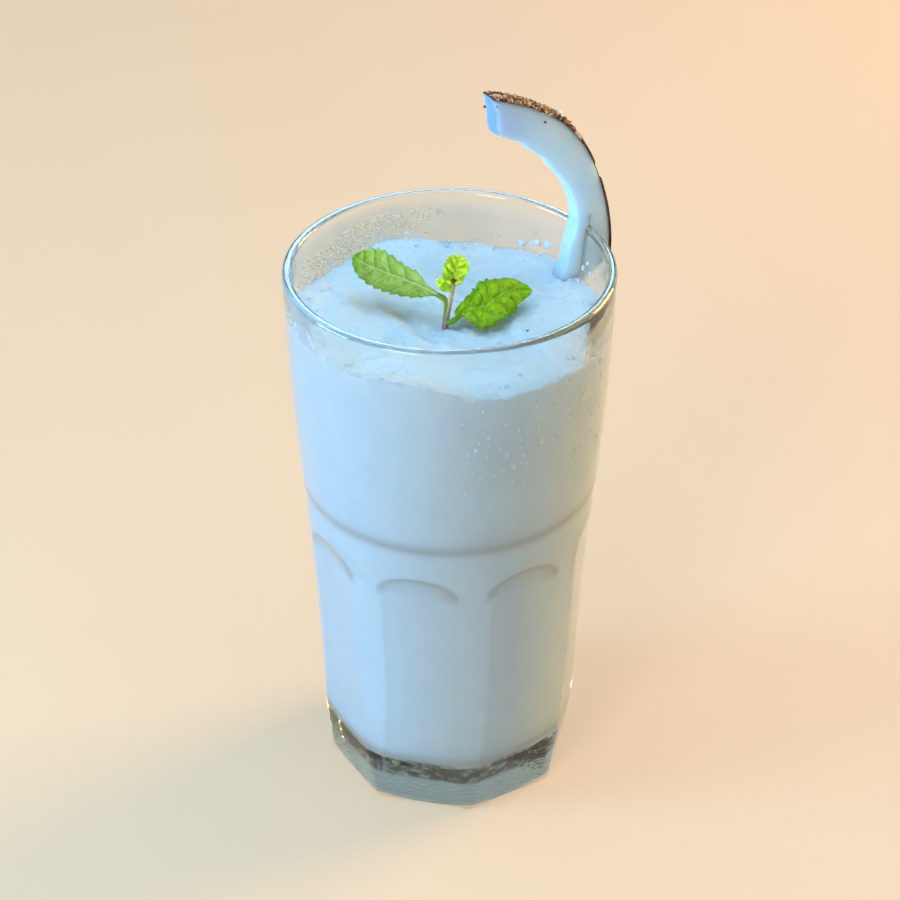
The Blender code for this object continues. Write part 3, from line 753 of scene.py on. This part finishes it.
# the slice's edges and the thickness of its skin: degrees up the curve, distance from the centre
SKIN_CURVE = ((-14, 0.0497), (1, 0.0482), (16, 0.0473), (27, 0.0474), (37, 0.0479), (46, 0.0486),
              (56, 0.0483), (68, 0.0482), (77, 0.0484))
FLESH_CURVE = ((-30, 0.0347), (-9, 0.0351), (3, 0.0368), (13, 0.0381), (36, 0.0369),
               (58, 0.0373), (71.5, 0.0382))
SKIN_THICKNESS = ((-14, 0.0004), (14, 0.0003), (34, 0.0004), (44, 0.0011), (56, 0.0011),
                  (68, 0.0009), (77, 0.0005))


def slice_point(distance, height, across):
    """Point of the slice from its place in its own upright plane."""
    px, py, _ = polar(SLICE_AZIMUTH, distance, height)
    return (px - math.cos(SLICE_AZIMUTH) * across, py - math.sin(SLICE_AZIMUTH) * across, height)


def on_curve(curve, foot, share, inset=None):
    """Distance from the axis, height and angle at a share of the way up one of the curves."""
    start = math.degrees(math.asin((foot - SLICE_CENTRE[1]) / curve[0][1]))
    degrees = start + (curve[-1][0] - start) * share
    reach = smooth(curve, degrees) - (smooth(inset, degrees) if inset else 0.0)
    turn = math.radians(degrees)
    return (SLICE_CENTRE[0] + reach * math.cos(turn), SLICE_CENTRE[1] + reach * math.sin(turn),
            degrees)


def skin_left(degrees):
    """1 where the brown skin is whole, down to 0 where it has come off."""
    return clamp((abs(degrees - SKIN_GAP) - 2.6) / 0.8)


rings, painted_window_light = [], []
for step in range(FLESH_STEPS + 1):
    share = step / FLESH_STEPS
    inner = on_curve(FLESH_CURVE, FLESH_FOOT, share)
    outer = on_curve(SKIN_CURVE, SKIN_FOOT, share, SKIN_THICKNESS)
    uneven = 0.00055 * noise.fractal(Vector((share * 13.0, 2.0, 5.0)), 0.7, 2.0, 3)
    ring = []
    # round the section: the skin's edge, a face, the hollow side, a face
    for k in range(SECTION_POINTS):
        turn = 2.0 * math.pi * (k + 0.5) / SECTION_POINTS
        u = math.copysign(abs(math.cos(turn)) ** 0.38, math.cos(turn))
        v = math.copysign(abs(math.sin(turn)) ** 0.22, math.sin(turn))
        across = HALF_THICK * v
        t = 0.5 + 0.5 * u
        distance = inner[0] + (outer[0] - inner[0]) * t + uneven * (1.0 - t)
        height = inner[1] + (outer[1] - inner[1]) * t
        spot = Vector((distance, height, across))
        across += 0.00012 * noise.noise(spot * 170.0) * (1.0 if v > 0 else -1.0)
        if share > ROUGH_FROM:
            rough = ((share - ROUGH_FROM) / ROUGH_OVER) ** 2
            step_out = noise.noise(Vector((t * 4.2, across * 120.0, 1.0)))
            chip = noise.fractal(spot * 700.0, 0.7, 2.0, 3)
            distance -= rough * (0.0009 * step_out + 0.00025 * chip)
            height += 0.0003 * rough * noise.fractal(spot * 700.0 + Vector((3, 1, 7)), 0.7, 2, 3)
        ring.append(slice_point(distance, height, across))
        # painted light: blue of the window light along the hollow edge, rising towards the snapped
        # end, full on the end itself
        painted_window_light.append(max(0.2 * max(0.0, 1.0 - t / 0.2), 0.4 * max(0.0, (share - 0.7) / 0.3) ** 2,
                            1.0 if step == FLESH_STEPS else 0.0))
    rings.append(ring)


def middle_of(ring):
    """Point that closes one end of a piece."""
    return tuple(np.mean(np.asarray(ring), axis=0))


flesh = ring_skin("coconut_flesh", rings, middle_of(rings[0]), middle_of(rings[-1]))
mark(flesh, "painted_window_light", painted_window_light + [0.0, 1.0])

# the slot: a wedge along both faces of the wall, drawn to a point above the rim
SLOT_ROOM = 0.00015         # between the slot and the glass
slot_outline = [(bore_radius(h) - SLOT_ROOM, h) for h in (0.130, 0.145, 0.1537)]
slot_outline += [(RIM_RADIUS - share * LIP, h) for share, h in (
    (0.8, GLASS_HEIGHT + SLOT_ROOM), (0.56, 0.1562), (0.34, 0.1586), (0.44, 0.1562),
    (0.2, GLASS_HEIGHT + SLOT_ROOM))]
slot_outline.append((RIM_RADIUS + SLOT_ROOM, 0.1537))
slot_outline += [(blank_radius(h) + 0.0003, h) for h in (0.145, 0.130)]
saw_cut = bmesh.new()
ends = [[saw_cut.verts.new(slice_point(d, h, side * 0.004)) for d, h in slot_outline]
        for side in (-1, 1)]
saw_cut.faces.new(ends[0])
saw_cut.faces.new(ends[1])
for k in range(len(slot_outline)):
    n = (k + 1) % len(slot_outline)
    saw_cut.faces.new((ends[0][k], ends[0][n], ends[1][n], ends[1][k]))
bmesh.ops.recalc_face_normals(saw_cut, faces=saw_cut.faces)
slot = put_shape("slot", saw_cut)
modifier = flesh.modifiers.new("Slot", "BOOLEAN")
modifier.operation = "DIFFERENCE"
modifier.solver = "EXACT"
modifier.object = slot
keep_made(flesh, modifier)
bpy.data.objects.remove(slot)
flesh.data.materials.clear()
flesh.data.shade_smooth()
flesh.data.set_sharp_from_angle(angle=math.radians(40.0))

tree, shader, flesh_finish = finish_of("coconut_flesh", (0.66, 0.82, 0.95), roughness=0.38,
                                       subsurface_weight=1.0, subsurface_scale=0.006,
                                       subsurface_radius=(0.8, 0.95, 1.0),
                                       specular_ior_level=0.5)
flesh_tones = tones(tree, grain(tree, 90.0), (0.32, (0.53, 0.75, 0.94)), (0.6, (0.60, 0.79, 0.96)))
# painted light: the flesh turns deep blue where the window light falls on it
feed(shader, {"Base Color": blend(tree, stored(tree, "painted_window_light"), flesh_tones, (0.17, 0.34, 0.66)),
              "Roughness": grain(tree, 500.0, 4.0).span(0.3, 0.7, 0.28, 0.5),
              "Normal": bumps(tree, grain(tree, 900.0, 4.0, 0.6), 0.3, 0.0003)})
flesh.data.materials.append(flesh_finish)

# the skin: a rough shell along the outer edge, thick near the snapped end and thin below, with
# torn flakes standing on it
OUTER_POINTS, INNER_POINTS = 30, 10
rings, thick_skin = [], []
for step in range(SKIN_STEPS + 1):
    distance, height, degrees = on_curve(SKIN_CURVE, SKIN_FOOT, step / SKIN_STEPS,
                                         SKIN_THICKNESS)
    turn = math.radians(degrees)
    deep = smooth(SKIN_THICKNESS, degrees)
    whole = skin_left(degrees)
    ring = []
    for k in range(OUTER_POINTS + INNER_POINTS):
        outside = k < OUTER_POINTS
        if outside:         # the outer face, from one edge to the other
            t = 2.0 * k / (OUTER_POINTS - 1) - 1.0
            across = HALF_THICK * 1.02 * t
            spot = Vector((degrees * 0.9, across * 2600.0, 3.0))
            lift = 0.85 * deep + 0.35 * deep * noise.fractal(spot, 0.6, 2.1, 4)
            lift, bare = max(lift * (0.55 + 0.45 * (1.0 - abs(t) ** 8)), -0.0001), 0.0003
        else:               # and back along the flesh
            across = HALF_THICK * (1.0 - 2.0 * (k - OUTER_POINTS) / (INNER_POINTS - 1))
            lift, bare = -0.00015, 0.0004
        lift = lift * whole - bare * (1.0 - whole)
        ring.append(slice_point(distance + lift * math.cos(turn), height + lift * math.sin(turn),
                                across))
        thick_skin.append(whole * min(1.0, max(0.03, (deep - 0.00042) / 0.0001)) * outside)
    rings.append(ring)
skin = ring_skin("coconut_skin", rings, middle_of(rings[0]), middle_of(rings[-1]))
mark(skin, "thick", thick_skin + [0.0, 0.0])

tree, shader, skin_finish = finish_of("coconut_skin", (0.20, 0.10, 0.05), roughness=0.8)
shade = stored(tree, "flake_tone") * 0.75 + grain(tree, 700.0, 4.0, 0.7).span(0.3, 0.7, 0.0, 0.4)
feed(shader, {"Base Color": tones(tree, shade, (0.08, (0.040, 0.016, 0.010)),
                                  (0.32, (0.14, 0.05, 0.02)), (0.52, (0.42, 0.18, 0.06)),
                                  (0.74, (0.60, 0.32, 0.14)), (0.95, (0.80, 0.56, 0.34))),
              "Normal": bumps(tree, grain(tree, 1600.0, 4.0, 0.7), 0.6, 0.0004)})
skin.data.materials.append(skin_finish)

tree, size = shaping_tree("Skin Flakes", spacing=0.00062, most=9000000.0, shortest=0.0008,
                          longest=0.0026, slimness=0.5, tilt=0.8, seed=2, finish=skin_finish)
spots = spots_on(tree, size, "thick")
flake = add_node(tree, "GeometryNodeMeshIcoSphere", {"Radius": 0.5, "Subdivisions": 1})
long = random_size(tree, size["Shortest"], size["Longest"], 2.2, 3)
wide = long * size["Slimness"]
many = add_node(tree, "GeometryNodeInstanceOnPoints",
                {"Points": spots, "Instance": flake, "Rotation": spots.outputs["Rotation"],
                 "Scale": join(tree, long, wide, wide * 0.4)})
least, most = (join(tree, size["Tilt"] * side, size["Tilt"] * side, turn)
               for side, turn in ((-0.5, -3.14), (0.5, 3.14)))
turned = add_node(tree, "FunctionNodeRandomValue", {"Seed": 4}, data_type="FLOAT_VECTOR")
feed(turned, {"Min": least, "Max": most})
swung = add_node(tree, "GeometryNodeRotateInstances", {"Instances": many,
                                                       "Rotation": turned.outputs["Value"]})
tone = add_node(tree, "FunctionNodeRandomValue", {"Min": 0.25, "Max": 1.1, "Seed": 6},
                data_type="FLOAT")
toned = add_node(tree, "GeometryNodeStoreNamedAttribute",
                 {"Geometry": swung, "Name": "flake_tone", "Value": tone.outputs["Value"]},
                 data_type="FLOAT", domain="INSTANCE")
end_tree(tree, size, toned)
flakes = put("skin_flakes", skin.data.copy())
shape_with(flakes, tree, finish=skin_finish)


def crumb(name, finish, place, long, wide, turned_by, seed):
    """Crumb of skin or flesh, left by the saw."""
    lump = bmesh.new()
    bmesh.ops.create_icosphere(lump, subdivisions=3, radius=0.5)
    for v in lump.verts:
        way = v.co.copy()
        way *= 1.0 + 0.5 * noise.noise(way * 2.6 + Vector((seed * 5.3, 0.0, 0.0)))
        px, pz = way.x * long, way.z * wide
        v.co = (place[0] + px * math.cos(turned_by) - pz * math.sin(turned_by),
                place[1] + way.y * wide,
                place[2] + px * math.sin(turned_by) + pz * math.cos(turned_by))
    piece = put_shape(name, lump)
    piece.data.shade_smooth()
    piece.data.materials.append(finish)
    return piece


# crumbs on the slice: distance from the axis, height, face, length, width
crumbs = [crumb("skin_crumb", skin_finish, slice_point(distance, height, side * HALF_THICK), long,
                wide, 0.4 * k, k + 1)
          for k, (distance, height, side, long, wide) in enumerate((
              (0.0120, 0.1957, -1, 0.0008, 0.0006), (0.0124, 0.1975, 1, 0.0005, 0.0003),
              (0.0269, 0.1896, 1, 0.0005, 0.0008), (0.0352, 0.1860, 1, 0.0003, 0.0003)))]
px, py = 0.0199, -0.0099    # and one that fell on the froth
crumbs.append(crumb("skin_crumb", skin_finish, (px, py, froth_top(px, py) + 0.0001), 0.0008,
                    0.0004, 0.7, 6))
crumbs += [crumb("flesh_crumb", flesh_finish, slice_point(distance, height, 0.95 * HALF_THICK),
                 long, wide, 0.9 * k - 0.4, k + 11)
           for k, (distance, height, long, wide) in enumerate((
               (0.0256, 0.1924, 0.0014, 0.0006), (0.0312, 0.1912, 0.0012, 0.0011),
               (0.0322, 0.1901, 0.0008, 0.0007)))]

for piece in [flesh, skin, flakes] + crumbs:
    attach(piece, "root")
    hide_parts("coconut_slice")


# The mint is the tip of a fresh shoot: a short reddish stem with a pair of broad puckered leaves
# and two small young leaves at its top.  The left leaf shows its paler underside, with the
# veins standing out.

STEM = ((-0.0013, -0.0080, 0.1345), (-0.0011, -0.0079, 0.1425), (0.0000, -0.0072, 0.1478),
        (0.0008, -0.0064, 0.1525), (0.0012, -0.0060, 0.1545))
LEAF_THICK = 0.00032
TEETH = 13.0                # along each margin
TOOTH_TIP = 0.75            # each rises up to this share of its length
VEIN_WIDTH = 0.00017
MIDRIB_WIDTH = 0.00034


def along(points, t):
    """Point on the smooth curve through the given points, t from 0 to 1, and its direction."""
    stations = [[(k, p[axis]) for k, p in enumerate(points)] for axis in range(3)]
    at = t * (len(points) - 1)
    here = Vector([smooth(s, at) for s in stations])
    ahead = Vector([smooth(s, min(at + 0.02, len(points) - 1)) for s in stations])
    behind = Vector([smooth(s, max(at - 0.02, 0.0)) for s in stations])
    return here, (ahead - behind).normalized()


def stalk(name, points, radii):
    """Ridged stalk, nearly square as mint's are, tapering through the given radii."""
    steps, sides, rings = 40, 16, []
    for k in range(steps + 1):
        t = k / steps
        here, way = along(points, t)
        side = way.cross(Vector((0.0, 1.0, 0.2))).normalized()
        other = side.cross(way)
        reach = smooth([(i / (len(radii) - 1), r) for i, r in enumerate(radii)], t)
        ring = []
        for s in range(sides):
            turn = 2.0 * math.pi * s / sides
            square = 1.0 + 0.10 * math.cos(4.0 * turn)
            ring.append(tuple(here + (side * math.cos(turn) + other * math.sin(turn))
                              * reach * square))
        rings.append(ring)
    return ring_skin(name, rings, tuple(along(points, 0.0)[0]), tuple(along(points, 1.0)[0]))


def leaf(name, spine, side, left, right, veins, pucker, facing, fold, ruffle, seed):
    """Puckered leaf about its midrib.

    left and right are stations of (share of the length, half width).  veins counts the side
    veins, pucker is the height of the swellings between them, facing is 1 for a leaf seen from
    above and -1 from below, fold lifts the margins, and ruffle waves them.
    """
    long_steps, half_steps = 90, 22
    length = sum((Vector(b) - Vector(a)).length for a, b in zip(spine, spine[1:]))
    upper, lower, marks = [], [], []
    for i in range(long_steps + 1):
        t = i / long_steps
        here, way = along(spine, t)
        out_way = (Vector(side) - way * Vector(side).dot(way)).normalized()
        up = out_way.cross(way).normalized()
        up = -up if up.z < 0.0 else up
        for j in range(-half_steps, half_steps + 1):
            s = j / half_steps
            inward = 1.0 - abs(s)
            half = smooth(left if s > 0 else right, t)
            tooth = (t * TEETH + seed * 0.37 + (0.4 if s > 0 else 0.0)) % 1.0
            tooth = tooth / TOOTH_TIP if tooth < TOOTH_TIP else (1.0 - tooth) / (1.0 - TOOTH_TIP)
            half *= 1.0 + 0.15 * abs(s) ** 4 * (tooth - 0.5) * (0.10 < t < 0.98)
            x_out = abs(s) * half
            count = (t * length - 0.75 * x_out + 0.12 * x_out * x_out / 0.004) / length
            count = count * (veins + 1)
            off = abs(count - round(count)) * length / (veins + 1)
            side_vein = bell(off / VEIN_WIDTH) * min(1.0, inward * 6.0)
            side_vein *= 0.5 < round(count) < veins + 0.5
            mid_vein = bell(x_out / (MIDRIB_WIDTH * (1.15 - t)))
            spot = Vector((t * length, s * half, seed * 0.01))
            near = noise.voronoi(spot * 620.0)[0]
            net = bell((near[1] - near[0]) / 0.16) * min(1.0, inward * 5.0)
            vein = max(side_vein * 0.8, mid_vein, net * 0.4)
            swell = min(1.0, off / (0.5 * length / (veins + 1)))
            swell = math.sin(0.5 * math.pi * swell) * math.sin(math.pi * min(1.0, abs(s) * 1.05))
            crinkle = noise.fractal(spot * 430.0, 0.9, 2.0, 3)
            blister = 1.0 - min(1.0, near[0] * 1.5)
            lift = pucker * (0.8 * swell + 0.55 * blister * (1.0 - vein) + 0.55 * crinkle)
            lift *= min(1.0, 12.0 * t + 0.1) * min(1.0, half / 0.002)
            lift -= (0.45 if facing > 0 else -0.1) * pucker * vein
            wave = ruffle * abs(s) ** 2.2 * math.sin(2.0 * math.pi * 2.6 * t + seed + 1.1 * s)
            wave *= math.sin(math.pi * min(1.0, t * 1.02)) ** 0.5 if t < 1.0 else 0.0
            point = here + out_way * (s * half) + up * (fold * s * s * half / 0.005 + wave)
            # where the underside faces up, the swellings go away from it and the veins stand out
            ridge = 0.0 if facing > 0 else 0.00022 * vein
            upper.append(tuple(point + up * (0.5 * LEAF_THICK + facing * lift + ridge)))
            lower.append(tuple(point + up * (-0.5 * LEAF_THICK + facing * lift)))
            # the swell mark carries painted light on the swellings and blisters, and painted shade
            # in the hollows, for the leaf's colour
            marks.append((vein, t, min(1.0, swell + 0.3 * blister)))
    wide, under = 2 * half_steps + 1, len(upper)
    faces = []
    for face in grid_faces(long_steps, wide):
        faces += [face, tuple(face[k] + under for k in (0, 3, 2, 1))]
    rim = (list(range(wide)) + [i * wide + wide - 1 for i in range(1, long_steps + 1)]
           + [long_steps * wide + j for j in range(wide - 2, -1, -1)]
           + [i * wide for i in range(long_steps - 1, 0, -1)])
    for a, b in zip(rim, rim[1:] + rim[:1]):
        faces.append((a, a + under, b + under, b))
    piece = closed_piece(name, upper + lower, faces)
    for label, column in zip(("vein", "length", "swell"), zip(*(marks + marks))):
        mark(piece, label, column)
    return piece


def leaf_finish(name, dark, light, vein_color, tip_color, tip_from):
    """Leaf colour: painted shade in the hollows and painted light on the swellings, random mottle,
    pale veins and a different tip.
    """
    tree, shader, material = finish_of(name, light, roughness=0.42, specular_ior_level=0.18,
                                       subsurface_weight=0.25, subsurface_scale=0.001,
                                       subsurface_radius=(0.5, 1.0, 0.1))
    painted_light_and_mottle = stored(tree, "swell") * 0.6 + grain(tree, 420.0, 4.0, 0.6).span(0.3, 0.7, 0.0, 0.45)
    body = blend(tree, painted_light_and_mottle, (*dark, 1.0), light)
    tip = blend(tree, stored(tree, "length").span(tip_from, tip_from + 0.2), body, tip_color)
    veins = stored(tree, "vein").span(0.15, 0.9, 0.0, 0.85)
    feed(shader, {"Base Color": blend(tree, veins, tip, vein_color),
                  "Roughness": grain(tree, 700.0).span(0.3, 0.7, 0.28, 0.5),
                  "Normal": bumps(tree, grain(tree, 2200.0, 3.0, 0.6), 0.35, 0.0002)})
    return material


upper_green = leaf_finish("mint_upper_side", (0.12, 0.29, 0.001), (0.38, 0.61, 0.001),
                          (0.56, 0.74, 0.08), (0.30, 0.58, 0.001), 0.80)
young_green = leaf_finish("mint_young_leaf", (0.32, 0.55, 0.004), (0.72, 0.95, 0.04),
                          (0.78, 0.95, 0.20), (0.72, 0.95, 0.06), 0.70)
under_green = leaf_finish("mint_underside", (0.20, 0.30, 0.02), (0.38, 0.48, 0.06),
                          (0.56, 0.62, 0.24), (0.24, 0.44, 0.01), 0.76)
tree, shader, stem_finish = finish_of("mint_stem", (0.40, 0.26, 0.22), roughness=0.5,
                                      subsurface_weight=0.1, subsurface_scale=0.001)
height = split(tree, place_on(tree))[2]
feed(shader, {"Base Color": tones(tree, height.span(0.141, 0.155), (0.02, (0.40, 0.18, 0.26)),
                                  (0.30, (0.52, 0.34, 0.28)), (0.62, (0.62, 0.52, 0.28)),
                                  (0.84, (0.45, 0.42, 0.12)), (0.93, (0.09, 0.06, 0.01)))})

mint = [
    (leaf("leaf_left", ((-0.0012, -0.0066, 0.1490), (-0.0062, -0.0040, 0.1506),
                        (-0.0132, -0.0003, 0.1517), (-0.0202, 0.0034, 0.1527),
                        (-0.0250, 0.0060, 0.1543)),
          (0.0, 0.72, 0.69),
          ((0.0, 0.0006), (0.18, 0.0007), (0.27, 0.0013), (0.36, 0.0030), (0.46, 0.0033),
           (0.58, 0.0043), (0.69, 0.0050), (0.80, 0.0046), (0.94, 0.0024), (1.0, 0.0003)),
          ((0.0, 0.0006), (0.11, 0.0008), (0.22, 0.0022), (0.35, 0.0038), (0.47, 0.0047),
           (0.62, 0.0048), (0.77, 0.0041), (0.88, 0.0030), (0.95, 0.0018), (1.0, 0.0003)),
          6, 0.0006, -1, 0.0006, 0.0006, 1.0), under_green),
    (leaf("leaf_right", ((0.0014, -0.0076, 0.1448), (0.0057, -0.0066, 0.1461),
                         (0.0093, -0.0060, 0.1466), (0.0121, -0.0036, 0.1477),
                         (0.0156, -0.0006, 0.1480), (0.0213, 0.0022, 0.1462)),
          (-0.15, 0.85, 0.52),
          ((0.0, 0.0006), (0.06, 0.0022), (0.16, 0.0034), (0.32, 0.0054), (0.48, 0.0062),
           (0.60, 0.0058), (0.75, 0.0040), (0.88, 0.0038), (0.95, 0.0018), (1.0, 0.0003)),
          ((0.0, 0.0006), (0.06, 0.0012), (0.14, 0.0036), (0.26, 0.0056), (0.40, 0.0058),
           (0.55, 0.0056), (0.72, 0.0056), (0.85, 0.0040), (0.95, 0.0020), (1.0, 0.0003)),
          5, 0.0009, 1, -0.0006, 0.0009, 2.2), upper_green),
    (leaf("leaf_top", ((0.0008, -0.0063, 0.1522), (0.0012, -0.0060, 0.1550),
                       (0.0018, -0.0056, 0.1580), (0.0030, -0.0044, 0.1604)),
          (1.0, 0.1, 0.0),
          ((0.0, 0.0004), (0.20, 0.0018), (0.45, 0.0026), (0.75, 0.0031), (0.93, 0.0022),
           (1.0, 0.0004)),
          ((0.0, 0.0004), (0.15, 0.0020), (0.40, 0.0031), (0.65, 0.0033), (0.87, 0.0024),
           (1.0, 0.0004)),
          4, 0.0009, 1, 0.0016, 0.0009, 3.1), young_green),
    (leaf("leaf_curled", ((0.0012, -0.0064, 0.1518), (-0.0010, -0.0064, 0.1530),
                          (-0.0034, -0.0060, 0.1540)),
          (0.1, 0.6, 0.8),
          ((0.0, 0.0003), (0.35, 0.0016), (0.7, 0.0019), (1.0, 0.0003)),
          ((0.0, 0.0003), (0.35, 0.0017), (0.7, 0.0018), (1.0, 0.0003)),
          3, 0.0006, 1, 0.0008, 0.0006, 4.4), young_green),
    (stalk("stem", STEM, (0.00085, 0.0008, 0.00065, 0.0006, 0.0008)), stem_finish),
    (stalk("left_stalk", ((-0.0012, -0.0079, 0.1435), (-0.0011, -0.0078, 0.1460),
                          (-0.0010, -0.0068, 0.1484), (-0.0032, -0.0055, 0.1496)),
           (0.0006, 0.0004, 0.0007, 0.0007)), under_green),
    (stalk("right_stalk", ((-0.0010, -0.0079, 0.1428), (0.0008, -0.0088, 0.1436),
                           (0.0036, -0.0074, 0.1453)), (0.0007, 0.0007, 0.0006)), upper_green),
]
for piece, finish in mint:
    piece.data.materials.append(finish)
    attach(piece, "root")
    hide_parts("mint_sprig")


# The set: a pale warm floor, broad cool lights from the left, the front and above, a warm light
# from the right, and a broad light behind that only glints in the rim.  The camera looks down on
# the front.

AIM = 0.1                   # height that the lights face
LIGHTS_AWAY = 1.35
CAMERA_AWAY, CAMERA_TILT, CAMERA_AIM = 0.697, math.radians(33.66), 0.0982

ground = bmesh.new()
bmesh.ops.create_grid(ground, x_segments=1, y_segments=1, size=6.0)
floor = put_shape("floor", ground)
floor.data.materials.append(finish_of("pale_floor", (0.68, 0.44, 0.27), roughness=0.9,
                                      specular_ior_level=0.1, emission_strength=1.0,
                                      emission_color=(0.31, 0.28, 0.22, 1.0))[2])


def soft_light(name, place, width, height, power, color):
    """Broad soft light that faces the glass."""
    lamp = bpy.data.lights.new(name, "AREA")
    lamp.shape, lamp.size, lamp.size_y = "RECTANGLE", width, height
    lamp.energy, lamp.color = power, color
    light = put(name, lamp)
    light.location = place
    to_glass = Vector((0.0, 0.0, AIM)) - Vector(place)
    light.rotation_euler = to_glass.to_track_quat("-Z", "Y").to_euler()
    return light


def around(azimuth, elevation, distance=LIGHTS_AWAY):
    """Place of a light about the glass."""
    px, py, _ = polar(math.radians(azimuth), distance * math.cos(math.radians(elevation)), 0.0)
    return (px, py, AIM + distance * math.sin(math.radians(elevation)))


soft_light("window", around(-80.0, 8.0), 0.6, 0.5, 27.5, (0.28, 0.585, 1.0))
soft_light("doorway", around(-30.0, 15.0), 0.5, 0.5, 11.0, (0.69, 0.74, 0.79))
soft_light("sky", (0.0, -0.1, 1.45), 1.5, 1.2, 18.5, (0.46, 0.75, 1.0))
soft_light("room", around(120.0, 12.0), 0.6, 0.6, 22.0, (1.0, 0.60, 0.18))
back_window = soft_light("back_window", around(182.0, 42.0, 1.45), 1.3, 1.0, 42.0,
                         (0.55, 0.78, 1.0))
back_window.visible_diffuse = False
back_window.visible_transmission = False
glinting = bpy.data.collections.new("glinting")
glinting.objects.link(tumbler)
back_window.light_linking.receiver_collection = glinting

world = bpy.data.worlds.new("room_light")
world.use_nodes = True
feed(world.node_tree.nodes["Background"], {"Color": (0.03, 0.035, 0.04, 1.0), "Strength": 1.0})
bpy.context.scene.world = world
bpy.context.scene.view_settings.view_transform = "Standard"

lens = bpy.data.cameras.new("camera")
lens.lens, lens.sensor_width = 104.0, 36.0
camera = put("camera", lens)
camera.location = (0.00012, -CAMERA_AWAY * math.cos(CAMERA_TILT),
                   CAMERA_AIM + CAMERA_AWAY * math.sin(CAMERA_TILT))
camera.rotation_euler = (math.pi / 2.0 - CAMERA_TILT, 0.0, 0.0)
bpy.context.scene.camera = camera
